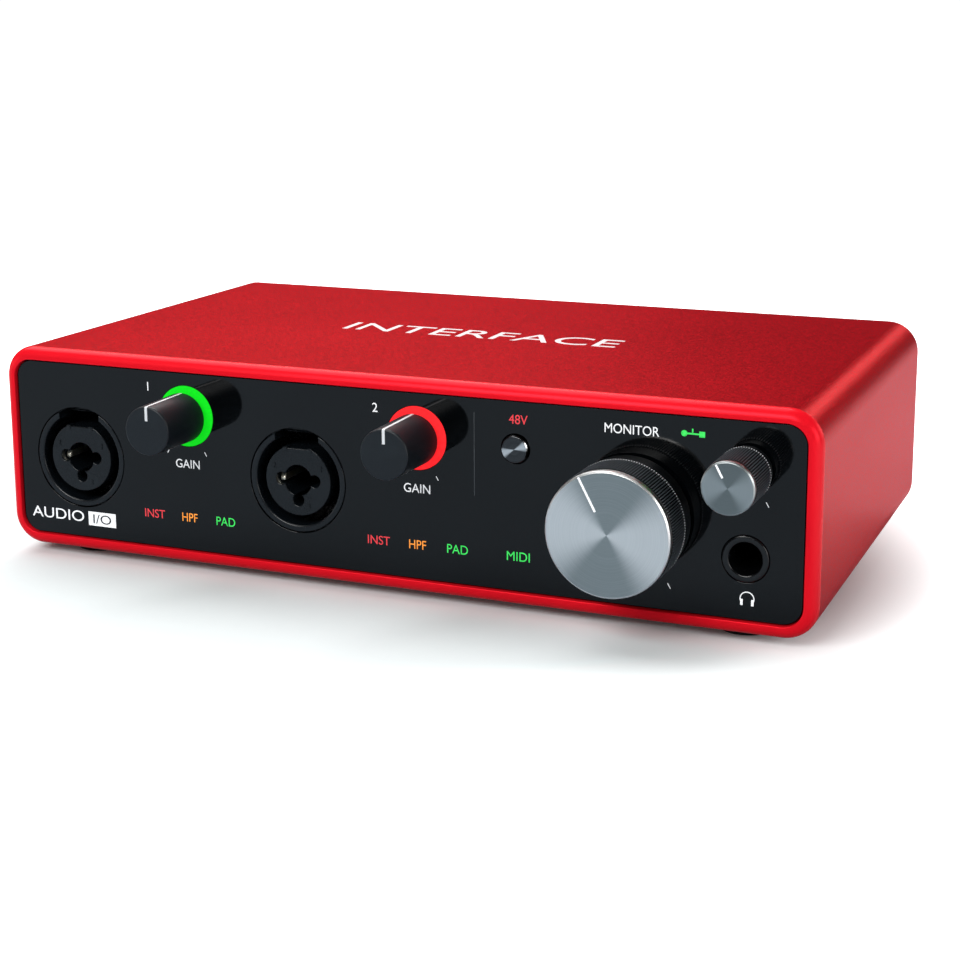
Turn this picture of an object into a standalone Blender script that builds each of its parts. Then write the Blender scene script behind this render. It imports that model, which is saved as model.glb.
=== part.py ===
"""Desktop audio interface: an extruded metal sleeve closed by a front and a rear panel, with two
combo inputs, four rotary controls, a phantom-power button and the boards and sockets behind them.

Frame: metres, +Z up, the front faces -Y. The origin is the centre of the bounding box's underside.
"""

import math

import bmesh
import bpy
from mathutils import Matrix

MM = 0.001

# Overall size. The knob faces are the frontmost points and the sleeve's rear edge is the rearmost.
WIDTH = 185.0 * MM
DEPTH = 117.5 * MM
HEIGHT = 47.5 * MM
FOOT_HEIGHT = 2.0 * MM
KNOB_REACH = 14.5 * MM  # how far the knobs stand out from the sleeve's front edge
GAP = 0.3 * MM  # clearance between neighbouring solids
LAP = 1.0 * MM  # how far a cutter or a joined shape runs past a face

KNOB_FACE = -DEPTH / 2
FRONT = KNOB_FACE + KNOB_REACH
REAR = DEPTH / 2

# Sleeve
WALL = 2.75 * MM
CORNER_RADIUS = 7.0 * MM
FRONT_ROUND = 2.45 * MM
REAR_CHAMFER = 0.35 * MM
FLOOR = FOOT_HEIGHT + WALL
CEILING = HEIGHT - WALL
SIDE = WIDTH / 2 - WALL
POST_RADIUS = 3.9 * MM
POST_BORE = 1.4 * MM
POST_X = 86.2 * MM
POST_RISE = 3.4 * MM
POST_LENGTH = 18.0 * MM
RIB_X = 55.0 * MM
RIB_WIDTH = 3.0 * MM

# Panels
FASCIA_FRONT = FRONT + 0.8 * MM
FASCIA_BACK = FRONT + 3.0 * MM
REAR_PLATE_FRONT = REAR - 3.4 * MM
REAR_PLATE_BACK = REAR - 1.6 * MM
SCREW_HEAD_RADIUS = 2.4 * MM

# Circuit boards
BOARD_THICKNESS = 1.6 * MM
FRONT_BOARD_FRONT = FRONT + 7.0 * MM
FRONT_BOARD_BACK = FRONT_BOARD_FRONT + BOARD_THICKNESS
MAIN_BOARD_TOP = 11.0 * MM
MAIN_BOARD_FRONT = FRONT + 11.0 * MM
MAIN_BOARD_REAR = REAR_PLATE_FRONT - 2 * GAP
MAIN_BOARD_HALF_WIDTH = 81.6 * MM
BOARD_SCREWS = ((-60.0 * MM, 41.0 * MM), (43.0 * MM, 41.0 * MM))

# Front-panel layout, as (x, z)
COMBO_AT = ((-73.6 * MM, 23.3 * MM), (-19.0 * MM, 23.3 * MM))
GAIN_AT = ((-45.95 * MM, 35.0 * MM), (8.75 * MM, 35.0 * MM))
MONITOR_AT = (55.1 * MM, 23.65 * MM)
PHONES_AT = (78.3 * MM, 35.1 * MM)
PHANTOM_AT = (30.6 * MM, 34.75 * MM)
HEADPHONE_AT = (78.1 * MM, 17.3 * MM)

# Combo socket
COMBO_RADIUS = 11.2 * MM
COMBO_BORE = 9.8 * MM
COMBO_CORE = 7.7 * MM
COMBO_CORE_FLAT = 6.9 * MM
COMBO_BODY = 22.8 * MM
COMBO_SOLE = 0.6 * MM  # how much lower the body reaches than a square one, to stand on the board
COMBO_NOTCH = 5.3 * MM
COMBO_DEPTH = 22.0 * MM
COMBO_CORE_DEPTH = 34.0 * MM
JACK_BORE = 3.3 * MM
JACK_BORE_DEPTH = 31.0 * MM
PIN_BORE = 1.45 * MM
PIN_BORE_DEPTH = 14.0 * MM
PIN_AT = ((-3.95 * MM, 0.1 * MM), (3.95 * MM, 0.1 * MM), (0.0, -4.3 * MM))

# Controls
SHAFT_RADIUS = 2.95 * MM
SHAFT_BORE = 3.2 * MM
BUSHING_RADIUS = 3.6 * MM
BUSHING_HOLE = 3.9 * MM
POT_WIDTH = 9.5 * MM
POT_TOP = 4.7 * MM
POT_BOTTOM = 6.3 * MM
POT_DEPTH = 7.0 * MM
HALO_OUTER = 6.65 * MM
HALO_INNER = 5.5 * MM
GAIN_KNOB_RADIUS = 5.25 * MM
GAIN_KNOB_BASE = 5.4 * MM
MONITOR_RADIUS = 12.7 * MM
MONITOR_CAP_RADIUS = 12.5 * MM
PHONES_RADIUS = 5.3 * MM
PHONES_CAP_RADIUS = 5.15 * MM
KNOB_TAIL = FRONT - 0.3 * MM  # where every knob's skirt ends, just before the fascia
BUTTON_RADIUS = 2.85 * MM
BUTTON_HOLE = 3.2 * MM

# Sockets in the rear panel, as x, from the line inputs across to the security slot
LINE_INPUT_X = (-75.0 * MM, -58.5 * MM)
LINE_OUTPUT_X = (-42.0 * MM, -25.0 * MM, -8.0 * MM, 9.0 * MM)
MIDI_X = (28.2 * MM, 49.6 * MM)
USB_X = 69.0 * MM
LOCK_AT = (79.5 * MM, 24.0 * MM)
JACK_BODY = (15.0 * MM, 14.8 * MM)
JACK_NOSE = 5.6 * MM
JACK_Z = MAIN_BOARD_TOP + GAP + JACK_BODY[1] / 2
LINE_JACK_BORE = 3.25 * MM
JACK_DEPTH = 33.0 * MM
MIDI_BODY = 20.4 * MM
MIDI_NOSE = 8.4 * MM
MIDI_MOAT = (6.1 * MM, 7.75 * MM)
MIDI_DEPTH = 14.0 * MM
MIDI_Z = MAIN_BOARD_TOP + GAP + MIDI_BODY / 2
USB_SIZE = (8.94 * MM, 3.2 * MM)
USB_Z = MAIN_BOARD_TOP + GAP + USB_SIZE[1] / 2
USB_DEPTH = 8.0 * MM
LOCK_SLOT = (7.0 * MM, 3.2 * MM)

FOOT_RADIUS = 6.0 * MM
FOOT_AT = ((-76.0 * MM, -33.0 * MM), (76.0 * MM, -33.0 * MM), (-76.0 * MM, 47.0 * MM), (76.0 * MM, 47.0 * MM))

COLOURS = {
    "red_anodised": ((0.62, 0.012, 0.022), 0.38, 0.85),
    "gloss_black": ((0.012, 0.014, 0.016), 0.18, 0.0),
    "socket_black": ((0.010, 0.011, 0.012), 0.42, 0.0),
    "knob_black": ((0.016, 0.018, 0.020), 0.45, 0.0),
    "spun_aluminium": ((0.62, 0.66, 0.68), 0.28, 1.0),
    "black_chrome": ((0.12, 0.13, 0.14), 0.22, 1.0),
    "steel": ((0.55, 0.56, 0.57), 0.30, 1.0),
    "contact_metal": ((0.80, 0.72, 0.48), 0.22, 1.0),
    "board_green": ((0.02, 0.16, 0.07), 0.50, 0.0),
    "halo_green": ((0.02, 0.75, 0.03), 0.35, 0.0),
    "halo_red": ((0.85, 0.02, 0.02), 0.35, 0.0),
    "clear_guide": ((0.80, 0.82, 0.84), 0.20, 0.0),
    "rubber": ((0.02, 0.02, 0.02), 0.85, 0.0),
}


def clear_scene():
    """Removes whatever the startup file holds."""
    for obj in list(bpy.data.objects):
        bpy.data.objects.remove(obj, do_unlink=True)


def make_collection(name):
    """A collection under the scene's own."""
    found = bpy.data.collections.new(name)
    bpy.context.scene.collection.children.link(found)
    return found


def make_material(name):
    """A Principled material from the table of finishes."""
    colour, roughness, metallic = COLOURS[name]
    material = bpy.data.materials.get(name) or bpy.data.materials.new(name)
    material.use_nodes = True
    shader = material.node_tree.nodes["Principled BSDF"]
    shader.inputs["Base Color"].default_value = (*colour, 1.0)
    shader.inputs["Roughness"].default_value = roughness
    shader.inputs["Metallic"].default_value = metallic
    return material


def add_object(name, mesh, location=(0, 0, 0)):
    """An object for a mesh, in the parts collection."""
    obj = bpy.data.objects.new(name, mesh)
    obj.location = location
    PARTS.objects.link(obj)
    return obj


def mesh_from(name, bm):
    """A mesh with outward normals from a bmesh, which is freed."""
    bmesh.ops.recalc_face_normals(bm, faces=bm.faces)
    mesh = bpy.data.meshes.new(name)
    bm.to_mesh(mesh)
    bm.free()
    return mesh


def baked(shape, location=(0, 0, 0)):
    """A mesh object of what a curve or a modified profile evaluates to, welded, in place of it."""
    bpy.context.view_layer.update()
    graph = bpy.context.evaluated_depsgraph_get()
    evaluated = bpy.data.meshes.new_from_object(shape.evaluated_get(graph))
    bm = bmesh.new()
    bm.from_mesh(evaluated)
    bm.transform(shape.matrix_world)
    bmesh.ops.translate(bm, verts=bm.verts, vec=[-c for c in location])
    bmesh.ops.remove_doubles(bm, verts=bm.verts, dist=0.002 * MM)
    name = shape.name
    bpy.data.objects.remove(shape)
    bpy.data.meshes.remove(evaluated)
    return add_object(name, mesh_from(name, bm), location)


def block(name, low, high, bevel=0.0):
    """A box between two corners, with all its edges chamfered if bevel is given."""
    centre = [(a + b) / 2 for a, b in zip(low, high)]
    bm = bmesh.new()
    bmesh.ops.create_cube(bm, size=1.0)
    bmesh.ops.scale(bm, vec=[b - a for a, b in zip(low, high)], verts=bm.verts)
    if bevel:
        bmesh.ops.bevel(bm, geom=bm.edges[:], offset=bevel, segments=1, affect="EDGES")
    return add_object(name, mesh_from(name, bm), centre)


def rod(name, at, radius, front, back, steps):
    """A plain cylinder along Y, about an axis through at = (x, z)."""
    bm = bmesh.new()
    bmesh.ops.create_cone(
        bm, cap_ends=True, segments=steps, radius1=radius, radius2=radius, depth=back - front
    )
    bmesh.ops.rotate(bm, verts=bm.verts, matrix=UPRIGHT)
    bmesh.ops.translate(bm, verts=bm.verts, vec=(0, (front + back) / 2, 0))
    return add_object(name, mesh_from(name, bm), (at[0], 0, at[1]))


def turned(name, at, profile, steps, closed=False):
    """A turned piece about an axis along Y through at = (x, z), from a profile of (radius, y) points."""
    count = len(profile)
    edges = [(i, i + 1) for i in range(count - 1)]
    if closed:
        edges.append((count - 1, 0))
    mesh = bpy.data.meshes.new(name)
    mesh.from_pydata([(radius, y, 0) for radius, y in profile], edges, [])
    shape = add_object(name, mesh)
    screw = shape.modifiers.new("turn", "SCREW")
    screw.axis = "Y"
    screw.steps = steps
    screw.render_steps = steps
    screw.use_merge_vertices = True
    screw.merge_threshold = 0.005 * MM
    shape.location = (at[0], 0, at[1])
    return baked(shape, (at[0], 0, at[1]))


def circle(at, radius, steps):
    """Points round a circle."""
    turn = 2 * math.pi / steps
    return [(at[0] + radius * math.cos(i * turn), at[1] + radius * math.sin(i * turn)) for i in range(steps)]


def rounded_rectangle(centre, size, radius, steps=5):
    """Points round a rectangle with round corners, steps to a corner."""
    points = []
    for quarter, (sx, sz) in enumerate(((1, 1), (-1, 1), (-1, -1), (1, -1))):
        cx = centre[0] + sx * (size[0] / 2 - radius)
        cz = centre[1] + sz * (size[1] / 2 - radius)
        for i in range(steps + 1):
            angle = (quarter + i / steps) * math.pi / 2
            points.append((cx + radius * math.cos(angle), cz + radius * math.sin(angle)))
    return points


def plate(name, front, back, outline, holes=()):
    """An upright plate from y = front to y = back, with its outline and holes as (x, z) points."""
    curve = bpy.data.curves.new(name, "CURVE")
    curve.dimensions = "2D"
    curve.fill_mode = "BOTH"
    curve.extrude = (back - front) / 2
    for points in (outline, *holes):
        spline = curve.splines.new("POLY")
        spline.points.add(len(points) - 1)
        for point, (x, z) in zip(spline.points, points):
            point.co = (x, z, 0, 1)
        spline.use_cyclic_u = True
    shape = bpy.data.objects.new(name, curve)
    PARTS.objects.link(shape)
    shape.rotation_euler = (math.pi / 2, 0, 0)
    shape.location = (0, (front + back) / 2, 0)
    return baked(shape, (0, (front + back) / 2, 0))


def combine(target, operation, shapes):
    """Adds one Boolean to target for each shape, and puts the shapes away with the tools."""
    for shape in shapes:
        PARTS.objects.unlink(shape)
        TOOLS.objects.link(shape)
        shape.name = "tool_" + shape.name
        shape.hide_render = True
        shape.display_type = "WIRE"
        boolean = target.modifiers.new(operation.lower(), "BOOLEAN")
        boolean.operation = operation
        boolean.object = shape
    return target


def cut(target, *shapes):
    """Takes the shapes out of target."""
    return combine(target, "DIFFERENCE", shapes)


def join(target, *shapes):
    """Makes the shapes one body with target."""
    return combine(target, "UNION", shapes)


def dress(obj, material):
    """Gives a finished piece its material, and smooth shading on its round faces."""
    obj.data.materials.clear()
    obj.data.materials.append(make_material(material))
    obj.data.shade_smooth()
    obj.data.set_sharp_from_angle(angle=math.radians(35))
    return obj


def build_sleeve():
    """The extruded shell: rounded outside, open at both ends, with screw posts and board ribs inside."""
    centre_z = (FOOT_HEIGHT + HEIGHT) / 2
    bm = bmesh.new()
    bmesh.ops.create_cube(bm, size=1.0)
    bmesh.ops.scale(bm, vec=(WIDTH, REAR - FRONT, HEIGHT - FOOT_HEIGHT), verts=bm.verts)
    long_edges = [e for e in bm.edges if abs(e.verts[0].co.y - e.verts[1].co.y) > WALL]
    bmesh.ops.bevel(bm, geom=long_edges, offset=CORNER_RADIUS, segments=6, profile=0.5, affect="EDGES")
    for side, size, steps in ((-1, FRONT_ROUND, 4), (1, REAR_CHAMFER, 1)):
        end = side * (REAR - FRONT) / 2
        rim = [e for e in bm.edges if all(abs(v.co.y - end) < 0.01 * MM for v in e.verts)]
        bmesh.ops.bevel(bm, geom=rim, offset=size, segments=steps, profile=0.5, affect="EDGES")
    sleeve = add_object("sleeve", mesh_from("sleeve", bm), (0, (FRONT + REAR) / 2, centre_z))
    size = (2 * SIDE, CEILING - FLOOR)
    cavity = rounded_rectangle((0, centre_z), size, CORNER_RADIUS - WALL)
    cut(sleeve, plate("cavity", FRONT - LAP, REAR + LAP, cavity))
    inner_front, inner_rear = FRONT_BOARD_BACK + 2 * GAP, REAR_PLATE_FRONT - GAP
    for i, at in enumerate(post_places()):
        post = rod(f"post_{i}", at, POST_RADIUS, inner_rear - POST_LENGTH, inner_rear, 16)
        join(sleeve, post)
    for side in (-1, 1):
        low = (side * RIB_X - RIB_WIDTH / 2, inner_front + LAP, FLOOR - LAP)
        high = (side * RIB_X + RIB_WIDTH / 2, inner_rear, MAIN_BOARD_TOP - BOARD_THICKNESS - GAP)
        join(sleeve, block(f"rib_{side}", low, high))
    for i, at in enumerate(post_places()):
        cut(sleeve, rod(f"post_bore_{i}", at, POST_BORE, REAR - 16 * MM, REAR + LAP, 12))
    return dress(sleeve, "red_anodised")


def post_places():
    """Centres of the four screw posts, as (x, z)."""
    return [(sx * POST_X, z) for z in (FLOOR + POST_RISE, CEILING - POST_RISE) for sx in (-1, 1)]


def panel_outline():
    """The outline that fits inside the sleeve at either end."""
    size = (2 * (SIDE - GAP), CEILING - FLOOR - 2 * GAP)
    return rounded_rectangle((0, (FLOOR + CEILING) / 2), size, CORNER_RADIUS - WALL - GAP)


def build_front_panel():
    """The gloss fascia with a hole for each control and two posts behind it for the front board."""
    holes = [circle(at, COMBO_RADIUS + GAP, 40) for at in COMBO_AT]
    holes += [circle(at, HALO_OUTER + GAP, 32) for at in GAIN_AT]
    holes += [circle(at, SHAFT_RADIUS + 2 * GAP, 20) for at in (MONITOR_AT, PHONES_AT)]
    holes += [circle(PHANTOM_AT, BUTTON_HOLE, 24), circle(HEADPHONE_AT, 4.8 * MM, 28)]
    panel = plate("front_panel", FASCIA_FRONT, FASCIA_BACK, panel_outline(), holes)
    for i, at in enumerate(BOARD_SCREWS):
        post = rod(f"fascia_post_{i}", at, 2.4 * MM, FASCIA_BACK - LAP, FRONT_BOARD_FRONT - GAP, 16)
        join(panel, post)
        cut(panel, rod(f"fascia_bore_{i}", at, 1.3 * MM, FASCIA_BACK, FRONT_BOARD_FRONT + LAP, 12))
    return dress(panel, "gloss_black")


def build_rear_panel():
    """The rear plate, with its socket openings, security slot and screw holes."""
    holes = [circle((x, JACK_Z), JACK_NOSE + GAP, 28) for x in LINE_INPUT_X + LINE_OUTPUT_X]
    holes += [circle((x, MIDI_Z), MIDI_NOSE + GAP, 32) for x in MIDI_X]
    usb_hole = [side + 2 * GAP for side in USB_SIZE]
    holes.append(rounded_rectangle((USB_X, USB_Z), usb_hole, usb_hole[1] / 2 - 0.1 * MM, 4))
    holes.append(rounded_rectangle(LOCK_AT, LOCK_SLOT, 0.6 * MM, 2))
    holes += [circle(at, POST_BORE + 0.1 * MM, 12) for at in post_places()]
    panel = plate("rear_panel", REAR_PLATE_FRONT, REAR_PLATE_BACK, panel_outline(), holes)
    return dress(panel, "socket_black")


def build_rear_screws():
    """The four hex-socket screws that hold the rear panel to the sleeve's posts."""
    head_front = REAR_PLATE_BACK + 0.1 * MM
    for i, at in enumerate(post_places()):
        tip = REAR - 12.0 * MM
        shank, head_back = 1.2 * MM, REAR - 0.2 * MM
        bevel = 0.25 * MM
        profile = [(0, tip), (shank - bevel, tip), (shank, tip + bevel), (shank, head_front)]
        profile += [(SCREW_HEAD_RADIUS, head_front), (SCREW_HEAD_RADIUS, head_back - bevel)]
        profile += [(SCREW_HEAD_RADIUS - bevel, head_back), (0, head_back)]
        screw = turned(f"rear_screw_{i + 1}", at, profile, 16)
        cut(screw, rod(f"socket_{i}", at, 1.15 * MM, head_back - 0.7 * MM, head_back + LAP, 6))
        dress(screw, "steel")


def build_feet():
    """Four round rubber feet under the sleeve."""
    for i, (x, y) in enumerate(FOOT_AT):
        bm = bmesh.new()
        bmesh.ops.create_cone(
            bm,
            cap_ends=True,
            segments=24,
            radius1=FOOT_RADIUS - 0.5 * MM,
            radius2=FOOT_RADIUS,
            depth=FOOT_HEIGHT - GAP,
        )
        location = (x, y, (FOOT_HEIGHT - GAP) / 2)
        dress(add_object(f"foot_{i + 1}", mesh_from("foot", bm), location), "rubber")


def build_boards():
    """The main board with its larger parts soldered on, the front board, and the header between them."""
    half, bottom = MAIN_BOARD_HALF_WIDTH, MAIN_BOARD_TOP - BOARD_THICKNESS
    board = block("main_board", (-half, MAIN_BOARD_FRONT, bottom), (half, MAIN_BOARD_REAR, MAIN_BOARD_TOP))
    chips = {
        "processor": (52.0, 8.0, 14.0, 14.0, 1.4),
        "converter": (8.0, 4.0, 9.0, 9.0, 1.4),
        "inductor": (66.0, 32.0, 9.0, 9.0, 5.0),
        "regulator": (30.0, 22.0, 7.0, 6.0, 2.2),
    }
    for name, (x, y, width, length, height) in chips.items():
        low = ((x - width / 2) * MM, (y - length / 2) * MM, MAIN_BOARD_TOP - LAP)
        high = ((x + width / 2) * MM, (y + length / 2) * MM, MAIN_BOARD_TOP + height * MM)
        join(board, block(name, low, high))
    dress(board, "board_green")

    size = (2 * 88.3 * MM, 38.4 * MM)
    outline = rounded_rectangle((0, 24.8 * MM), size, 3.4 * MM, 3)
    combo_hole = (COMBO_BODY + 2 * GAP, COMBO_BODY + COMBO_SOLE + 2 * GAP)
    holes = [rounded_rectangle((x, z - COMBO_SOLE / 2), combo_hole, GAP, 1) for x, z in COMBO_AT]
    holes += [circle(at, BUSHING_HOLE, 20) for at in (*GAIN_AT, MONITOR_AT, PHONES_AT)]
    holes.append(rounded_rectangle(HEADPHONE_AT, (13.6 * MM, 12.6 * MM), GAP, 1))
    holes += [circle(at, 1.6 * MM, 12) for at in BOARD_SCREWS]
    dress(plate("front_board", FRONT_BOARD_FRONT, FRONT_BOARD_BACK, outline, holes), "board_green")

    back, top = FRONT_BOARD_BACK + GAP, MAIN_BOARD_TOP + GAP
    link = block("board_link", (16 * MM, back, top), (44 * MM, back + 3 * MM, top + 6 * MM))
    foot = block("link_foot", (16 * MM, back, top), (44 * MM, back + 8 * MM, top + 2.6 * MM))
    dress(join(link, foot), "socket_black")

    for i, at in enumerate(BOARD_SCREWS):
        seat = FRONT_BOARD_BACK + GAP
        profile = [(0, FASCIA_BACK + 0.6 * MM), (1.1 * MM, FASCIA_BACK + 0.6 * MM), (1.1 * MM, seat)]
        profile += [(2.2 * MM, seat), (2.2 * MM, seat + 1.4 * MM), (0, seat + 1.4 * MM)]
        dress(turned(f"board_screw_{i + 1}", at, profile, 12), "steel")


def build_combo(number, at):
    """One combo input: the housing with its flange ring, the core with its bores, and a contact."""
    x, z = at
    half = COMBO_BODY / 2
    body_front, body_back = FASCIA_BACK + GAP, FRONT + COMBO_DEPTH
    housing = rod(f"combo_housing_{number}", at, COMBO_RADIUS, FASCIA_FRONT, body_front + LAP, 40)
    low, high = (x - half, body_front, z - half - COMBO_SOLE), (x + half, body_back, z + half)
    join(housing, block(f"combo_body_{number}", low, high))
    wall_front = body_back - 3.0 * MM
    cut(housing, rod(f"combo_bore_{number}", at, COMBO_BORE, FASCIA_FRONT - LAP, wall_front, 40))
    cut(housing, rod(f"combo_seat_{number}", at, COMBO_CORE + GAP, wall_front - LAP, body_back + LAP, 32))
    notch_low = (x - COMBO_NOTCH, FASCIA_FRONT - LAP, z + 7.6 * MM)
    notch_high = (x + COMBO_NOTCH, FRONT + 12.0 * MM, z + COMBO_RADIUS + 0.1 * MM)
    cut(housing, block(f"combo_notch_{number}", notch_low, notch_high))
    dress(housing, "socket_black")

    face, tail = FASCIA_FRONT + 0.2 * MM, FRONT + COMBO_CORE_DEPTH
    core = rod(f"combo_core_{number}", at, COMBO_CORE, face, tail, 32)
    flat_low = (x - COMBO_CORE, face - LAP, z + COMBO_CORE_FLAT)
    flat_high = (x + COMBO_CORE, wall_front - GAP, z + COMBO_CORE + LAP)
    cut(core, block(f"core_flat_{number}", flat_low, flat_high))
    cut(core, rod(f"core_bore_{number}", at, JACK_BORE, face - LAP, face + JACK_BORE_DEPTH, 24))
    for i, (dx, dz) in enumerate(PIN_AT):
        pin_at = (x + dx, z + dz)
        cut(core, rod(f"pin_bore_{number}_{i}", pin_at, PIN_BORE, face - LAP, face + PIN_BORE_DEPTH, 14))
    dress(core, "socket_black")

    pin_x = x + PIN_AT[0][0]
    low = (pin_x - 0.65 * MM, face + 2.2 * MM, z - 0.75 * MM)
    high = (pin_x - 0.25 * MM, face + 12.0 * MM, z + 0.95 * MM)
    dress(block(f"combo_contact_{number}", low, high, 0.1 * MM), "contact_metal")


def build_pot(name, at):
    """A potentiometer on the back of the front board, its bushing through the board."""
    x, z = at
    body_front = FRONT_BOARD_BACK + GAP
    low = (x - POT_WIDTH / 2, body_front, z - POT_BOTTOM)
    high = (x + POT_WIDTH / 2, body_front + POT_DEPTH, z + POT_TOP)
    pot = block(name, low, high)
    join(pot, rod(name + "_bushing", at, BUSHING_RADIUS, FRONT + 5.6 * MM, body_front + LAP, 20))
    cut(pot, rod(name + "_bore", at, SHAFT_BORE, FRONT + 5.6 * MM - LAP, FRONT + 14.0 * MM, 20))
    return dress(pot, "steel")


def build_shaft(name, at, front):
    """The D-shaft that a knob turns, from inside the knob into the potentiometer."""
    shaft = rod(name, at, SHAFT_RADIUS, front, FRONT + 13.6 * MM, 20)
    low = (at[0] - SHAFT_RADIUS - LAP, front - LAP, at[1] + 1.7 * MM)
    high = (at[0] + SHAFT_RADIUS + LAP, front + 7.0 * MM, at[1] + SHAFT_RADIUS + LAP)
    return dress(cut(shaft, block(name + "_flat", low, high)), "steel")


def build_gain_control(number, at, glow):
    """A gain knob on its shaft, with the glowing halo ring let into the fascia round it."""
    edge, bore_end = 0.45 * MM, KNOB_FACE + 2.5 * MM
    profile = [
        (0, KNOB_FACE),
        (GAIN_KNOB_RADIUS - edge, KNOB_FACE),
        (GAIN_KNOB_RADIUS - 0.13 * MM, KNOB_FACE + 0.13 * MM),
        (GAIN_KNOB_RADIUS, KNOB_FACE + edge),
        (GAIN_KNOB_BASE, KNOB_TAIL),
        (GAIN_KNOB_BASE - 1.0 * MM, KNOB_TAIL),
        (GAIN_KNOB_BASE - 1.0 * MM, KNOB_TAIL - 2.0 * MM),
        (SHAFT_BORE, KNOB_TAIL - 2.0 * MM),
        (SHAFT_BORE, bore_end),
        (0, bore_end),
    ]
    dress(turned(f"gain_knob_{number}", at, profile, 32), "knob_black")
    build_shaft(f"gain_shaft_{number}", at, bore_end + GAP)
    build_pot(f"gain_pot_{number}", at)
    front, back = FASCIA_FRONT - 0.15 * MM, FRONT_BOARD_FRONT - GAP
    ring = [(HALO_INNER, front), (HALO_OUTER, front), (HALO_OUTER, back), (HALO_INNER, back)]
    dress(turned(f"gain_halo_{number}", at, ring, 32, closed=True), glow)


def build_capped_control(name, at, radius, cap_radius, cap_thickness, knurl_end, hub, steps):
    """A knurled knob under a spun metal cap, on its shaft and potentiometer."""
    cap_edge = 0.3 * MM
    cap_back = KNOB_FACE + cap_thickness
    cap = [(0, KNOB_FACE), (cap_radius - cap_edge, KNOB_FACE), (cap_radius, KNOB_FACE + cap_edge)]
    cap += [(cap_radius, cap_back), (0, cap_back)]
    dress(turned(f"{name}_cap", at, cap, steps), "spun_aluminium")
    front, neck, bore_end = cap_back + GAP, 0.35 * MM, cap_back + GAP + 1.2 * MM
    body = [
        (0, front),
        (radius, front),
        (radius, knurl_end),
        (radius - neck, knurl_end + neck),
        (radius - neck, KNOB_TAIL),
        (hub + 0.2 * MM, KNOB_TAIL),
        (hub + 0.2 * MM, KNOB_TAIL - 1.0 * MM),
        (SHAFT_BORE, KNOB_TAIL - 1.0 * MM),
        (SHAFT_BORE, bore_end),
        (0, bore_end),
    ]
    dress(turned(f"{name}_knob", at, body, steps), "knob_black")
    build_shaft(f"{name}_shaft", at, bore_end + GAP)
    build_pot(f"{name}_pot", at)


def build_phantom_button():
    """The phantom-power button: a spun metal cap on a plunger that works a switch on the front board."""
    face, cap_back = FASCIA_FRONT - 0.85 * MM, FASCIA_FRONT + 1.1 * MM
    cap = [(0, face), (BUTTON_RADIUS - 0.2 * MM, face), (BUTTON_RADIUS, face + 0.2 * MM)]
    cap += [(BUTTON_RADIUS, cap_back), (0, cap_back)]
    dress(turned("phantom_button", PHANTOM_AT, cap, 24), "black_chrome")
    flange = FASCIA_BACK + GAP
    stem_end = FRONT + 4.9 * MM
    plunger = [(0, cap_back + 0.1 * MM), (2.5 * MM, cap_back + 0.1 * MM), (2.5 * MM, flange)]
    plunger += [(3.8 * MM, flange), (3.8 * MM, flange + 0.6 * MM), (1.5 * MM, flange + 0.6 * MM)]
    plunger += [(1.5 * MM, stem_end), (0, stem_end)]
    dress(turned("phantom_plunger", PHANTOM_AT, plunger, 20), "socket_black")
    x, z = PHANTOM_AT
    low, high = (x - 3 * MM, FRONT + 5.1 * MM, z - 3 * MM), (x + 3 * MM, FRONT_BOARD_FRONT - GAP, z + 3 * MM)
    switch = block("phantom_switch", low, high)
    cut(switch, rod("switch_bore", PHANTOM_AT, 1.8 * MM, FRONT + 4 * MM, FRONT + 6.3 * MM, 16))
    dress(switch, "socket_black")


def build_headphone_jack():
    """The headphone socket, its nose through the fascia and its body on the main board."""
    x, z = HEADPHONE_AT
    body_front = FASCIA_BACK + GAP
    jack = rod("headphone_jack", HEADPHONE_AT, 4.5 * MM, FASCIA_FRONT - 0.2 * MM, body_front + LAP, 28)
    low, high = (x - 6.5 * MM, body_front, z - 6 * MM), (x + 6.5 * MM, FRONT + JACK_DEPTH, z + 6 * MM)
    join(jack, block("headphone_body", low, high))
    bore = rod("headphone_bore", HEADPHONE_AT, JACK_BORE, FRONT - LAP, FRONT + JACK_BORE_DEPTH, 24)
    return dress(cut(jack, bore), "socket_black")


def build_line_jack(name, x):
    """One rear line socket, its nose through the rear panel and its body on the main board."""
    at = (x, JACK_Z)
    nose_back, body_back = REAR - 0.3 * MM, REAR_PLATE_FRONT - GAP
    half, tall = JACK_BODY[0] / 2, JACK_BODY[1] / 2
    jack = rod(name, at, JACK_NOSE, body_back - LAP, nose_back, 28)
    low, high = (x - half, REAR - JACK_DEPTH, JACK_Z - tall), (x + half, body_back, JACK_Z + tall)
    join(jack, block(name + "_body", low, high))
    bore_end = nose_back - JACK_BORE_DEPTH
    return dress(cut(jack, rod(name + "_bore", at, LINE_JACK_BORE, bore_end, REAR + LAP, 20)), "socket_black")


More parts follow.
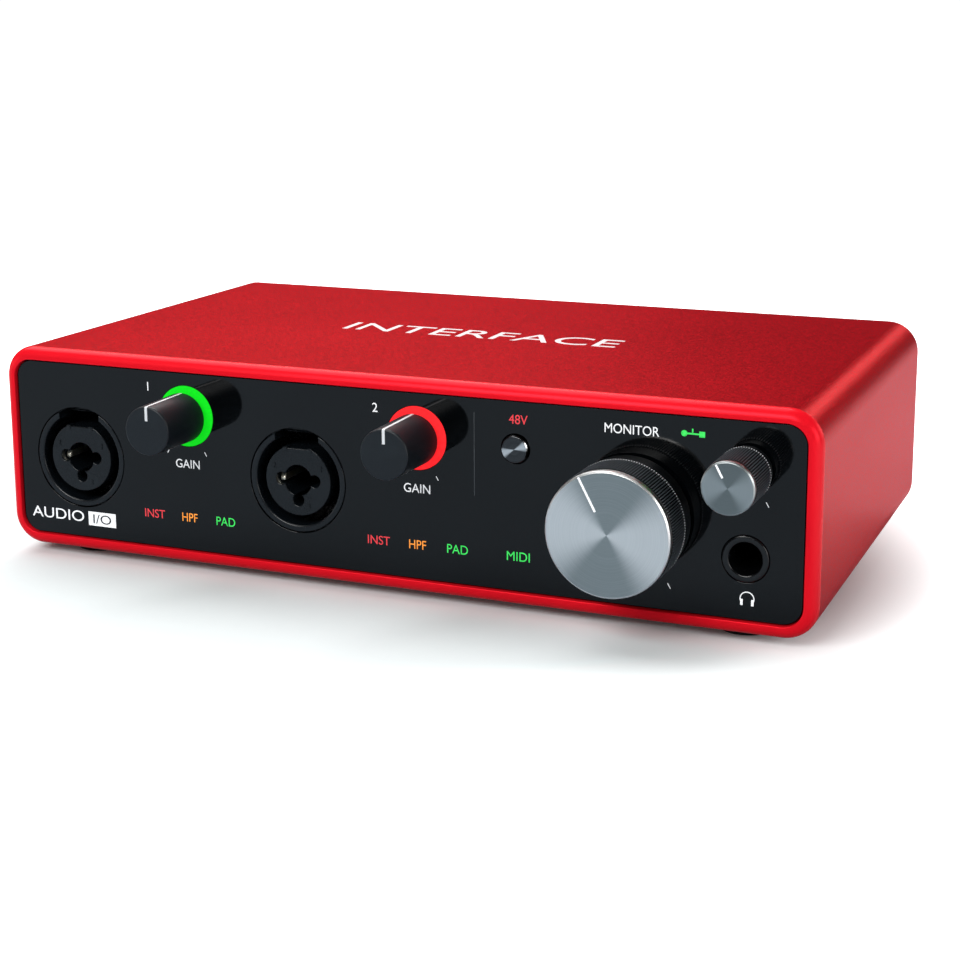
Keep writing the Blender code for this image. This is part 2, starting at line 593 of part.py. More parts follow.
def build_midi_socket(name, x):
    """One five-pin round socket: a boss with five bores, inside the moat that takes the plug's shell."""
    at = (x, MIDI_Z)
    half = MIDI_BODY / 2
    nose_back, body_back = REAR - 0.3 * MM, REAR_PLATE_FRONT - GAP
    socket = rod(name, at, MIDI_NOSE, body_back - LAP, nose_back, 32)
    low, high = (x - half, REAR - MIDI_DEPTH, MIDI_Z - half), (x + half, body_back, MIDI_Z + half)
    join(socket, block(name + "_body", low, high))
    inner, outer = MIDI_MOAT
    floor = nose_back - 9.0 * MM
    moat = [(inner, floor), (outer, floor), (outer, REAR + LAP), (inner, REAR + LAP)]
    cut(socket, turned(name + "_moat", at, moat, 28, closed=True))
    for i in range(5):
        angle = math.pi / 4 * i
        pin_at = (x + 3.6 * MM * math.cos(angle), MIDI_Z + 3.6 * MM * math.sin(angle))
        cut(socket, rod(f"{name}_pin_{i}", pin_at, 0.8 * MM, floor, REAR + LAP, 10))
    return dress(socket, "socket_black")


def build_usb_port():
    """The USB-C receptacle: a folded shell with a closed back, and the contact tongue inside it."""
    width, height = USB_SIZE
    wall, back = 0.35 * MM, REAR_PLATE_BACK - 0.1 * MM
    outer = rounded_rectangle((USB_X, USB_Z), USB_SIZE, height / 2 - 0.1 * MM, 5)
    inner_size = (width - 2 * wall, height - 2 * wall)
    inner = rounded_rectangle((USB_X, USB_Z), inner_size, inner_size[1] / 2 - 0.1 * MM, 5)
    shell = plate("usb_shell", back - USB_DEPTH, back, outer)
    cut(shell, plate("usb_cavity", back - USB_DEPTH + 0.6 * MM, back + LAP, inner))
    dress(shell, "steel")
    low = (USB_X - 3.2 * MM, back - USB_DEPTH + 0.9 * MM, USB_Z - 0.35 * MM)
    high = (USB_X + 3.2 * MM, back - 0.9 * MM, USB_Z + 0.35 * MM)
    dress(block("usb_tongue", low, high, 0.12 * MM), "socket_black")


def build_lock_plate():
    """The steel plate that backs the security slot."""
    outline = rounded_rectangle(LOCK_AT, (13.0 * MM, 12.0 * MM), 1.0 * MM, 2)
    slot = rounded_rectangle(LOCK_AT, [side + 0.4 * MM for side in LOCK_SLOT], 0.6 * MM, 2)
    back = REAR_PLATE_FRONT - GAP
    dress(plate("lock_plate", back - 1.5 * MM, back, outline, [slot]), "steel")


def build_light_guides():
    """Clear guides that carry light from the front board to the legends in the fascia."""
    front, back, bridge = FASCIA_BACK + GAP, FRONT_BOARD_FRONT - GAP, 1.2 * MM
    for number, columns in enumerate(((-54.75, -45.85, -36.85), (-0.1, 8.7, 17.8))):
        legend_z, half, tall = 12.4 * MM, 3.1 * MM, 1.5 * MM
        xs = [x * MM for x in columns]
        low, high = (xs[0] - half, back - bridge, legend_z - tall), (xs[-1] + half, back, legend_z + tall)
        guide = block(f"legend_guide_{number + 1}", low, high)
        for i, x in enumerate(xs):
            low, high = (x - half, front, legend_z - tall), (x + half, back - bridge / 2, legend_z + tall)
            inset = 0.2 * MM * (i == 1)
            low = (low[0] + inset, low[1], low[2] + 0.1 * MM)
            high = (high[0] - inset, high[1], high[2] - 0.1 * MM)
            join(guide, block(f"guide_column_{number}_{i}", low, high))
        dress(guide, "clear_guide")
    singles = {"phantom_guide": (31.2, 40.8), "midi_guide": (31.2, 12.3), "usb_guide": (67.25, 41.05)}
    for name, (x, z) in singles.items():
        low, high = ((x - 3.1) * MM, front, (z - 1.7) * MM), ((x + 3.1) * MM, back, (z + 1.7) * MM)
        dress(block(name, low, high, 0.3 * MM), "clear_guide")


def main():
    """Builds every piece of the interface."""
    build_sleeve()
    build_front_panel()
    build_rear_panel()
    build_rear_screws()
    build_feet()
    build_boards()
    for number, at in enumerate(COMBO_AT, start=1):
        build_combo(number, at)
    for number, (at, glow) in enumerate(zip(GAIN_AT, ("halo_green", "halo_red")), start=1):
        build_gain_control(number, at, glow)
    monitor_knurl_end, phones_knurl_end = FRONT - 3.0 * MM, FRONT - 2.6 * MM
    build_capped_control(
        "monitor", MONITOR_AT, MONITOR_RADIUS, MONITOR_CAP_RADIUS, 1.5 * MM, monitor_knurl_end, 9.0 * MM, 40
    )
    build_capped_control(
        "phones", PHONES_AT, PHONES_RADIUS, PHONES_CAP_RADIUS, 1.1 * MM, phones_knurl_end, 4.0 * MM, 32
    )
    build_phantom_button()
    build_headphone_jack()
    for number, x in enumerate(LINE_INPUT_X, start=1):
        build_line_jack(f"line_input_jack_{number}", x)
    for number, x in enumerate(LINE_OUTPUT_X, start=1):
        build_line_jack(f"line_output_jack_{number}", x)
    for name, x in zip(("midi_in_socket", "midi_out_socket"), MIDI_X):
        build_midi_socket(name, x)
    build_usb_port()
    build_lock_plate()
    build_light_guides()


clear_scene()
PARTS = make_collection("audio_interface")
TOOLS = make_collection("tools")
UPRIGHT = Matrix.Rotation(math.pi / 2, 3, "X")
main()
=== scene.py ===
"""Visual model of a desktop audio interface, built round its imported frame.

Each sub-assembly is a class: its build method shapes the meshes with Blender's operators, and its dress
method gives them their finishes. Lengths are in metres, +Z is up and the front faces -Y.
"""

import logging
import math
from abc import ABC, abstractmethod
from dataclasses import dataclass, field
from enum import Enum
from typing import Callable, Sequence, Union

import bmesh
import bpy
from mathutils import Matrix, Vector


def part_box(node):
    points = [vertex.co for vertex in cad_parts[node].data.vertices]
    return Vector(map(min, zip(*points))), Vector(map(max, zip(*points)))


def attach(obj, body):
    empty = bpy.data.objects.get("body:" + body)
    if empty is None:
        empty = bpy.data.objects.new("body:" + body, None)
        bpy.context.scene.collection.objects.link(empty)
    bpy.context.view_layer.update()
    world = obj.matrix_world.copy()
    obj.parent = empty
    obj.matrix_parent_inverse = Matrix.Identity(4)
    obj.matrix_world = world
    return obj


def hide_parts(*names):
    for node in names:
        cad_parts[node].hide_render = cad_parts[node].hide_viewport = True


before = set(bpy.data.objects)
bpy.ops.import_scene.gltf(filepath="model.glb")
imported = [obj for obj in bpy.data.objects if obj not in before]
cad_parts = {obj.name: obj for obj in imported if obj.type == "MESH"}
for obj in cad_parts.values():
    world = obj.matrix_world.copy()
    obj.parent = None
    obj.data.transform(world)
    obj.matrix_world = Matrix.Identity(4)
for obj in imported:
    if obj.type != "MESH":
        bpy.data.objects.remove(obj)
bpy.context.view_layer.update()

MM = 0.001
PRINT_DEPTH = 0.03 * MM  # how far ink stands out from what it is printed on
PRINT_EDGE = 0.004 * MM  # how far the edges of printed shapes are rounded
NEAR = 0.01 * MM  # how far a point may be from a plane that it counts as in

log = logging.getLogger("audio_interface")

Point = tuple[float, float]  # (radius, y) on an outline, or (x, z) on a panel
Colour = tuple[float, float, float]
Test = Callable[[Sequence[Vector]], bool]


# --------------------------------------------------------------------------------------------------
# The bench: meshes shaped by operators
# --------------------------------------------------------------------------------------------------


class Element(Enum):
    """What an edit-mode selection is made of."""

    VERTEX = "VERT"
    EDGE = "EDGE"
    FACE = "FACE"


class Facing(Enum):
    """The way that lettering faces, as its turn about X and then about Z, in degrees."""

    FRONT = (90.0, 0.0)
    REAR = (90.0, 180.0)
    TOP = (0.0, 0.0)


@dataclass(frozen=True)
class Space:
    """The box that a CAD node fills at rest."""

    low: Vector
    high: Vector

    @classmethod
    def of(cls, node: str) -> "Space":
        """Reads a node's box from the frame.

        Args:
            node: The CAD node's name.

        Returns:
            The node's box.
        """
        low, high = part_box(node)
        return cls(Vector(low), Vector(high))

    @property
    def centre(self) -> Vector:
        """The middle of the box."""
        return (self.low + self.high) / 2

    @property
    def at(self) -> Point:
        """The (x, z) of an axis along Y through the middle of the box."""
        return self.centre.x, self.centre.z


def hub(at: Point) -> Vector:
    """The point at y = 0 on an axis along Y."""
    return Vector((at[0], 0, at[1]))


def along_y(ends: Sequence[Vector]) -> bool:
    """Whether an edge runs along Y."""
    return abs(ends[0].y - ends[1].y) > MM


def at_depth(y: float) -> Test:
    """A test for what lies in the plane at one y."""
    return lambda points: all(abs(p.y - y) < NEAR for p in points)


def select_only(*objects: bpy.types.Object) -> None:
    """Leaves edit mode, selects these objects and nothing else, and makes the first one active.

    Args:
        objects: The objects to select.
    """
    if bpy.context.mode != "OBJECT":
        bpy.ops.object.mode_set(mode="OBJECT")
    bpy.ops.object.select_all(action="DESELECT")
    for item in objects:
        item.select_set(True)
    if objects:
        bpy.context.view_layer.objects.active = objects[0]


def rounded(outline: Sequence[Point], radius: float, closed: bool = False, steps: int = 4) -> list[Point]:
    """Rounds the corners of an outline.

    Args:
        outline: Points of the outline, in order.
        radius: How far from a corner its rounding starts, where the sides are long enough.
        closed: Whether the last point joins the first.
        steps: How many segments each corner gets.

    Returns:
        The rounded outline.
    """
    count = len(outline)
    result: list[Point] = []
    for i, corner in enumerate(outline):
        if not closed and i in (0, count - 1):
            result.append(corner)
            continue
        here = Vector(corner)
        before = Vector(outline[i - 1]) - here
        after = Vector(outline[(i + 1) % count]) - here
        reach = min(radius, before.length * 0.49, after.length * 0.49)
        start, end = here + before.normalized() * reach, here + after.normalized() * reach
        for step in range(steps + 1):
            t = step / steps
            spot = start * (1 - t) ** 2 + here * (2 * t * (1 - t)) + end * t**2
            result.append((spot.x, spot.y))
    return result


class Blank:
    """A mesh on the bench: a primitive, shaped in edit mode and finished with modifiers."""

    SEAM = 0.03 * MM  # how far apart the sides of an opening may be when it is closed
    KNURL_EDGE = 0.28 * MM  # the chamfer at each end of a knurl

    def __init__(self, name: str) -> None:
        """Takes over the object that an operator has just added.

        Args:
            name: What to call the object and its mesh.
        """
        self.piece = bpy.context.object
        self.piece.name = name
        self.piece.data.name = name

    @classmethod
    def box(cls, name: str, low: Sequence[float], high: Sequence[float]) -> "Blank":
        """Adds a box between two corners.

        Args:
            name: The object's name.
            low: The lowest corner.
            high: The highest corner.

        Returns:
            The box.
        """
        select_only()
        corner, size = Vector(low), Vector(high) - Vector(low)
        bpy.ops.mesh.primitive_cube_add(size=1.0, location=corner + size / 2, scale=size)
        return cls(name).settle()

    @classmethod
    def slab(cls, name: str, at: Point, size: tuple[float, float], front: float, back: float) -> "Blank":
        """Adds a box whose front and back are centred on an axis along Y.

        Args:
            name: The object's name.
            at: The axis, as (x, z).
            size: The box's width and height.
            front: The y of its front.
            back: The y of its back.

        Returns:
            The box.
        """
        half_width, half_height = size[0] / 2, size[1] / 2
        low = (at[0] - half_width, front, at[1] - half_height)
        return cls.box(name, low, (at[0] + half_width, back, at[1] + half_height))

    @classmethod
    def rod(cls, name: str, at: Point, radius: float, front: float, back: float, sides: int = 96) -> "Blank":
        """Adds a cylinder along Y.

        Args:
            name: The object's name.
            at: The axis, as (x, z).
            radius: The cylinder's radius.
            front: The y of its front end.
            back: The y of its back end.
            sides: How many sides it has.

        Returns:
            The cylinder.
        """
        select_only()
        bpy.ops.mesh.primitive_cylinder_add(
            vertices=sides,
            radius=radius,
            depth=back - front,
            location=(at[0], (front + back) / 2, at[1]),
            rotation=(math.pi / 2, 0, 0),
        )
        return cls(name).settle()

    @classmethod
    def turned(cls, name: str, at: Point, outline: Sequence[Point], sides: int = 128) -> "Blank":
        """Turns a piece about an axis along Y: a vertex is extruded along the outline, which is spun.

        Args:
            name: The object's name.
            at: The axis, as (x, z).
            outline: The (radius, y) points. A ring's last point repeats its first.
            sides: How many sides a full turn has.

        Returns:
            The turned piece.
        """
        select_only()
        bpy.ops.mesh.primitive_plane_add(size=MM, location=(at[0], 0, at[1]))
        blank = cls(name).settle()
        bpy.ops.object.mode_set(mode="EDIT")
        bpy.ops.mesh.select_mode(type=Element.VERTEX.value)
        bpy.ops.mesh.select_all(action="SELECT")
        bpy.ops.mesh.merge(type="CENTER")
        bpy.ops.transform.translate(value=(outline[0][0], outline[0][1], 0))
        for (radius, y), (next_radius, next_y) in zip(outline, outline[1:]):
            step = (next_radius - radius, next_y - y, 0)
            bpy.ops.mesh.extrude_vertices_move(TRANSFORM_OT_translate={"value": step})
        bpy.ops.mesh.select_all(action="SELECT")
        bpy.ops.mesh.spin(
            steps=sides, dupli=False, angle=2 * math.pi, center=(at[0], 0, at[1]), axis=(0, 1, 0)
        )
        return blank.weld()

    @classmethod
    def ring(
        cls, name: str, at: Point, inner: float, outer: float, front: float, back: float, edge: float
    ) -> "Blank":
        """Turns a plain ring with rounded edges.

        Args:
            name: The object's name.
            at: The axis, as (x, z).
            inner: The inner radius.
            outer: The outer radius.
            front: The y of its front face.
            back: The y of its back face.
            edge: How far its edges are rounded.

        Returns:
            The ring.
        """
        outline = rounded([(inner, front), (outer, front), (outer, back), (inner, back)], edge, closed=True)
        return cls.turned(name, at, [*outline, outline[0]])

    @classmethod
    def grip(
        cls, name: str, at: Point, radius: float, front: float, back: float, teeth: int, depth: float
    ) -> "Blank":
        """Adds a cylinder with a straight knurl and chamfered ends.

        Args:
            name: The object's name.
            at: The axis, as (x, z).
            radius: The radius over the teeth.
            front: The y of its front end.
            back: The y of its back end.
            teeth: How many teeth go round it.
            depth: How deep the grooves are.

        Returns:
            The knurled cylinder.
        """
        chamfer = cls.KNURL_EDGE
        blank = cls.rod(name, at, radius, front + chamfer, back - chamfer, sides=4 * teeth)
        centre = hub(at)
        shrink = (radius - depth) / radius

        def in_groove(points: Sequence[Vector]) -> bool:
            """Whether a vertex is one of the two in four that stand in a groove.

            Args:
                points: The vertex's place.

            Returns:
                Whether it is.
            """
            arm = points[0] - centre
            step = round(math.atan2(arm.z, arm.x) / (2 * math.pi) * 4 * teeth - 0.5 * (teeth % 2))
            return step % 4 in (0, 1)

        blank.pick(Element.VERTEX, in_groove)
        bpy.ops.transform.resize(value=(shrink, 1, shrink), center_override=centre)
        middle = (front + back) / 2
        for direction in (-1, 1):
            blank.pick(Element.FACE, lambda points, d=direction: all((p.y - middle) * d > 0 for p in points))
            push = {"value": (0, direction * chamfer, 0)}
            bpy.ops.mesh.extrude_region_move(TRANSFORM_OT_translate=push)
            taper = (radius - chamfer) / radius
            bpy.ops.transform.resize(value=(taper, 1, taper), center_override=centre)
        return blank.weld()

    @classmethod
    def lettering(
        cls, name: str, words: str, centre: Vector, size: tuple[float, float], facing: Facing, depth: float
    ) -> "Blank":
        """Adds words as a thin solid, stretched to a width and a height.

        Args:
            name: The object's name.
            words: What they say.
            centre: The middle of the words' box.
            size: Their width and height. A width of 0 keeps the letters' own proportions.
            facing: Which way they face.
            depth: Their full thickness.

        Returns:
            The words, as a mesh.
        """
        select_only()
        bpy.ops.object.text_add(location=(0, 0, 0))
        text = bpy.context.object
        text.data.body = words
        text.data.resolution_u = 6
        text.data.extrude = 0.5
        text.data.align_x = "CENTER"
        bpy.ops.object.convert(target="MESH")
        blank = cls(name)
        corners = [Vector(corner) for corner in blank.piece.bound_box]
        low = Vector([min(corner[i] for corner in corners) for i in range(3)])
        high = Vector([max(corner[i] for corner in corners) for i in range(3)])
        width, height = high.x - low.x, high.y - low.y
        tall = size[1] / height
        wide = size[0] / width if size[0] else tall
        turn_x, turn_z = (math.radians(angle) for angle in facing.value)
        turn = Matrix.Rotation(turn_z, 4, "Z") @ Matrix.Rotation(turn_x, 4, "X")
        stretch = Matrix.Diagonal((wide, tall, depth / (high.z - low.z), 1))
        place = Matrix.Translation(centre) @ turn @ stretch @ Matrix.Translation(-(low + high) / 2)
        blank.piece.matrix_world = place
        return blank.settle().weld()

    def settle(self) -> "Blank":
        """Moves the object's place into its mesh.

        Returns:
            The same blank.
        """
        select_only(self.piece)
        bpy.ops.object.transform_apply(location=True, rotation=True, scale=True)
        return self

    def turn(self, angle: float, at: Point) -> "Blank":
        """Turns the mesh about an axis along Y.

        Args:
            angle: The angle in degrees, clockwise as seen from the front.
            at: The axis, as (x, z).

        Returns:
            The same blank.
        """
        centre = hub(at)
        spin = Matrix.Rotation(math.radians(angle), 4, "Y")
        self.piece.matrix_world = Matrix.Translation(centre) @ spin @ Matrix.Translation(-centre)
        return self.settle()

    def twin(self, name: str, shift: Vector) -> "Blank":
        """Copies the blank, with a mesh of its own.

        Args:
            name: The copy's name.
            shift: How far the copy is moved.

        Returns:
            The copy.
        """
        select_only(self.piece)
        bpy.ops.object.duplicate(linked=False)
        bpy.ops.transform.translate(value=shift)
        return Blank(name).settle()

    def weld(self) -> "Blank":
        """Merges doubled points, turns the faces outwards and goes back to object mode.

        Returns:
            The same blank.
        """
        select_only(self.piece)
        bpy.ops.object.mode_set(mode="EDIT")
        bpy.ops.mesh.select_all(action="SELECT")
        bpy.ops.mesh.remove_doubles(threshold=0.001 * MM)
        bpy.ops.mesh.normals_make_consistent(inside=False)
        bpy.ops.object.mode_set(mode="OBJECT")
        return self

    def pick(self, element: Element, test: Test) -> int:
        """Selects elements in edit mode, and stays there for the operator that follows.

        Args:
            element: Vertices, edges or faces.
            test: Says whether an element is wanted, from the places of its vertices.

        Returns:
            How many elements are selected.
        """
        select_only(self.piece)
        bpy.ops.object.mode_set(mode="EDIT")
        bpy.ops.mesh.select_mode(type=element.value)
        bpy.ops.mesh.select_all(action="DESELECT")
        cage = bmesh.from_edit_mesh(self.piece.data)
        if element is Element.VERTEX:
            chosen = [vertex for vertex in cage.verts if test([vertex.co])]
        else:
            items = cage.edges if element is Element.EDGE else cage.faces
            chosen = [item for item in items if test([vertex.co for vertex in item.verts])]
        for item in chosen:
            item.select_set(True)
        cage.select_flush_mode()
        bmesh.update_edit_mesh(self.piece.data)
        return len(chosen)

    def soften(self, test: Test, width: float, segments: int) -> "Blank":
        """Bevels the edges that pass a test.

        Args:
            test: Says whether an edge is wanted, from the places of its ends.
            width: The bevel's offset.
            segments: How many segments it has.

        Returns:
            The same blank.
        """
        if self.pick(Element.EDGE, test):
            bpy.ops.mesh.bevel(offset=width, segments=segments, profile=0.5, affect="EDGES")
        bpy.ops.object.mode_set(mode="OBJECT")
        return self

    def modify(self, kind: str, **settings: object) -> "Blank":
        """Adds a modifier and applies it.

        Args:
            kind: The modifier's type.
            settings: Its settings, by name.

        Returns:
            The same blank.
        """
        modifier = self.piece.modifiers.new(kind.lower(), kind)
        for setting, value in settings.items():
            setattr(modifier, setting, value)
        select_only(self.piece)
        bpy.ops.object.modifier_apply(modifier=modifier.name)
        return self

    def chamfer(self, width: float, segments: int = 2, angle: float = 40.0) -> "Blank":
        """Rounds every sharp edge with a Bevel modifier.

        Args:
            width: The bevel's width.
            segments: How many segments it has.
            angle: Edges sharper than this many degrees are rounded.

        Returns:
            The same blank.
        """
        return self.modify(
            "BEVEL",
            width=width,
            segments=segments,
            limit_method="ANGLE",
            angle_limit=math.radians(angle),
            use_clamp_overlap=False,
        )

    def cut(self, *tools: "Blank") -> "Blank":
        """Takes tools out of the blank, and throws them away.

        Args:
            tools: The shapes to take out, which don't touch each other.

        Returns:
            The same blank.
        """
        return self.combine("DIFFERENCE", tools)

    def join(self, *tools: "Blank") -> "Blank":
        """Makes the blank and the tools one solid.

        Args:
            tools: The shapes to add, which don't touch each other.

        Returns:
            The same blank.
        """
        return self.combine("UNION", tools)

    def combine(self, operation: str, tools: Sequence["Blank"]) -> "Blank":
        """Applies one Boolean with all the tools.

        Args:
            operation: The Boolean's operation.
            tools: The shapes that it uses.

        Returns:
            The same blank.
        """
        tool = tools[0].piece
        select_only(*(item.piece for item in tools))
        if len(tools) > 1:
            bpy.ops.object.join()
        self.modify("BOOLEAN", operation=operation, object=tool, solver="EXACT")
        bpy.data.objects.remove(tool, do_unlink=True)
        return self

    def seal(self) -> "Blank":
        """Closes the small openings that joining can leave.

        Returns:
            The same blank.
        """
        select_only(self.piece)
        bpy.ops.object.mode_set(mode="EDIT")
        bpy.ops.mesh.select_mode(type=Element.EDGE.value)
        wanted = {"use_wire": True, "use_boundary": True}
        unwanted = {"use_multi_face": False, "use_non_contiguous": False, "use_verts": False}
        for close, how in (
            (bpy.ops.mesh.remove_doubles, {"threshold": self.SEAM}),
            (bpy.ops.mesh.fill_holes, {"sides": 0}),
        ):
            bpy.ops.mesh.select_all(action="DESELECT")
            bpy.ops.mesh.select_non_manifold(extend=False, **wanted, **unwanted)
            close(**how)
        bpy.ops.object.mode_set(mode="OBJECT")
        return self

    def finish(self, angle: float = 35.0) -> bpy.types.Object:
        """Shades the piece and keeps its flat faces flat.

        Args:
            angle: Edges sharper than this many degrees stay sharp.

        Returns:
            The finished object.
        """
        select_only(self.piece)
        bpy.ops.object.shade_smooth_by_angle(angle=math.radians(angle))
        self.modify("WEIGHTED_NORMAL", weight=100, keep_sharp=True)
        return self.piece


# --------------------------------------------------------------------------------------------------
# Finishes: materials built from nodes
# --------------------------------------------------------------------------------------------------

Value = Union["Signal", float, Sequence[float]]


class Signal:
    """What a shader socket gives, with arithmetic that adds Math nodes."""

    def __init__(self, sheet: "Sheet", socket: bpy.types.NodeSocket) -> None:
        """Wraps a socket.

        Args:
            sheet: The material that the socket is in.
            socket: The output socket.
        """
        self.sheet = sheet
        self.socket = socket

    def math(self, operation: str, *values: Value) -> "Signal":
        """Adds a Math node.

        Args:
            operation: The node's operation.
            values: Its inputs, in order.

        Returns:
            The result.
        """
        return self.sheet.add("ShaderNodeMath", {"operation": operation}, dict(enumerate(values)))

    def __add__(self, other: Value) -> "Signal":
        """This plus other."""
        return self.math("ADD", self, other)

    __radd__ = __add__

    def __sub__(self, other: Value) -> "Signal":
        """This minus other."""
        return self.math("SUBTRACT", self, other)

    def __rsub__(self, other: Value) -> "Signal":
        """Other minus this."""
        return self.math("SUBTRACT", other, self)

    def __mul__(self, other: Value) -> "Signal":
        """This times other."""
        return self.math("MULTIPLY", self, other)

    __rmul__ = __mul__

    def __truediv__(self, other: Value) -> "Signal":
        """This over other."""
        return self.math("DIVIDE", self, other)

    def __abs__(self) -> "Signal":
        """The size of this."""
        return self.math("ABSOLUTE", self)

    def swing(self, amount: float) -> "Signal":
        """This, spread about zero over an amount."""
        return (self - 0.5) * amount

    def step(self, start: float, end: float) -> "Signal":
        """A smooth step that goes from 0 at start to 1 at end."""
        settings = {"interpolation_type": "SMOOTHSTEP", "clamp": True}
        return self.sheet.add("ShaderNodeMapRange", settings, {0: self, 1: start, 2: end, 3: 0.0, 4: 1.0})


class Sheet:
    """The nodes of one material."""

    def __init__(self, name: str) -> None:
        """Starts a material with a Principled shader.

        Args:
            name: The material's name.
        """
        self.material = bpy.data.materials.new(name)
        self.material.use_nodes = True
        self.tree = self.material.node_tree
        self.shader = self.tree.nodes["Principled BSDF"]
        self.place = self.add("ShaderNodeTexCoord", output="Object")

    def add(
        self,
        kind: str,
        settings: dict[str, object] | None = None,
        inputs: dict[str | int, Value] | None = None,
        output: str | int = 0,
    ) -> Signal:
        """Adds a node.

        Args:
            kind: The node's type.
            settings: Its own settings, by name.
            inputs: Values or signals for its sockets, by name or number.
            output: The output that is wanted.

        Returns:
            That output.
        """
        node = self.tree.nodes.new(kind)
        for setting, value in (settings or {}).items():
            setattr(node, setting, value)
        for socket, value in (inputs or {}).items():
            self.connect(node.inputs[socket], value)
        return Signal(self, node.outputs[output])

    def connect(self, socket: bpy.types.NodeSocket, value: Value) -> None:
        """Links a signal to a socket, or sets the socket's own value.

        Args:
            socket: The input socket.
            value: A signal, a number, or a colour or vector.
        """
        if isinstance(value, Signal):
            self.tree.links.new(value.socket, socket)
        elif isinstance(value, (int, float)):
            socket.default_value = value
        else:
            count = len(socket.default_value)
            socket.default_value = (*value, 1.0) if count == len(value) + 1 else tuple(value)

    def feed(self, sockets: dict[str, Value]) -> None:
        """Sets the Principled shader's sockets.

        Args:
            sockets: Values or signals, by socket name.
        """
        for socket, value in sockets.items():
            self.connect(self.shader.inputs[socket], value)

    def axis(self, letter: str) -> Signal:
        """One of the piece's own coordinates."""
        return self.add("ShaderNodeSeparateXYZ", inputs={0: self.place}, output=letter)

    def noise(self, scale: float, detail: float = 2.0) -> Signal:
        """Smooth noise from 0 to 1, with scale bumps to a metre."""
        inputs = {"Vector": self.place, "Scale": scale, "Detail": detail}
        return self.add("ShaderNodeTexNoise", None, inputs, "Fac")

    def grains(self, scale: float) -> Signal:
        """A random level from 0 to 1 in each cell, with scale cells to a metre."""
        inputs = {"Vector": self.place, "Scale": scale}
        return self.add("ShaderNodeTexVoronoi", None, inputs, "Color") * 1.0

    def mix(self, factor: Value, first: Value, second: Value) -> Signal:
        """A colour between two, first where factor is 0."""
        settings = {"data_type": "RGBA"}
        return self.add("ShaderNodeMix", settings, {0: factor, 6: first, 7: second}, 2)

    def vector(self, operation: str, *values: Value) -> Signal:
        """The result of a Vector Math node."""
        output = "Value" if operation in ("LENGTH", "DOT_PRODUCT") else 0
        return self.add("ShaderNodeVectorMath", {"operation": operation}, dict(enumerate(values)), output)

    def bump(self, height: Value, depth: float) -> Signal:
        """A normal from a height of 0 to 1 that stands for depth."""
        return self.add("ShaderNodeBump", None, {"Distance": depth, "Height": height}, "Normal")

    def arm(self, centre: Point) -> Signal:
        """The vector out from an axis along Y."""
        away = self.vector("SUBTRACT", self.place, (centre[0], 0.0, centre[1]))
        return self.vector("MULTIPLY", away, (1.0, 0.0, 1.0))


@dataclass(frozen=True)
class Finish(ABC):
    """How a surface looks."""

    name: str

    def material(self) -> bpy.types.Material:
        """The finish's material, made when it is first wanted.

        Returns:
            The material.
        """
        title = "finish_" + self.name
        if title not in bpy.data.materials:
            self.lay_out(Sheet(title))
        return bpy.data.materials[title]

    @abstractmethod
    def lay_out(self, sheet: Sheet) -> None:
        """Adds the finish's nodes.

        Args:
            sheet: The material to add them to.
        """


@dataclass(frozen=True)
class AnodisedMetal(Finish):
    """Blasted and anodised metal whose front rim is polished, in a lighter, less metallic red that is partly
    painted highlight.
    """

    colour: Colour = (0.74, 0.005, 0.020)
    deep: Colour = (0.42, 0.002, 0.007)
    # The rim colour: a lighter red for the polished rim, partly painted highlight.
    rim_colour: Colour = (1.0, 0.008, 0.020)
    rim_end: float = 0.0
    side: float = 92.0 * MM
    grain_scale: float = 3000.0

    def lay_out(self, sheet: Sheet) -> None:
        """Sparkling grains over the body, and a smoother rim whose lighter red is partly painted highlight.

        Args:
            sheet: The material to add them to.
        """
        body = sheet.axis("Y").step(self.rim_end - 0.35 * MM, self.rim_end)
        grain = sheet.grains(self.grain_scale)
        fine = sheet.noise(self.grain_scale * 0.6, 3.0)
        cloud = sheet.noise(14.0, 2.0)
        tone = 0.52 + grain.swing(0.85) + cloud.swing(0.4)
        anodised = sheet.mix(tone.math("MINIMUM", tone, 1.0), self.deep, self.colour)
        rough = 0.37 + grain.swing(0.16) + cloud.swing(0.05)
        flank = abs(sheet.axis("X")).step(self.side - 1.5 * MM, self.side)
        sheet.feed(
            {
                # The rim's lighter red is partly painted highlight.
                "Base Color": sheet.mix(body, self.rim_colour, anodised),
                "Metallic": 0.15 + body * 0.55,
                "Specular IOR Level": 0.1,
                "Roughness": 0.24 + (rough - 0.24) * body,
                "Specular Tint": (1.0, 0.12, 0.26),
                "Coat Weight": 0.07 + cloud * 0.05 + flank * 0.22,
                "Coat Roughness": 0.32,
                "Normal": sheet.bump((grain * 0.6 + fine * 0.6) * body, 0.016 * MM),
            }
        )


@dataclass(frozen=True)
class GlossPanel(Finish):
    """Clear gloss over near-black, with the faint haze of wiping."""

    colour: Colour = (0.0006, 0.0010, 0.0014)
    haze: Colour = (0.0014, 0.0020, 0.0026)

    def lay_out(self, sheet: Sheet) -> None:
        """Broad haze in colour and roughness, and a trace of orange peel.

        Args:
            sheet: The material to add them to.
        """
        wipe = sheet.noise(45.0, 4.0)
        speck = sheet.noise(2600.0, 2.0)
        sheet.feed(
            {
                "Base Color": sheet.mix(wipe.step(0.35, 0.75), self.colour, self.haze),
                "Roughness": 0.04 + wipe * 0.03 + speck * 0.01,
                "Specular IOR Level": 0.40,
                "Normal": sheet.bump(sheet.noise(260.0, 1.0), 0.0006 * MM),
            }
        )


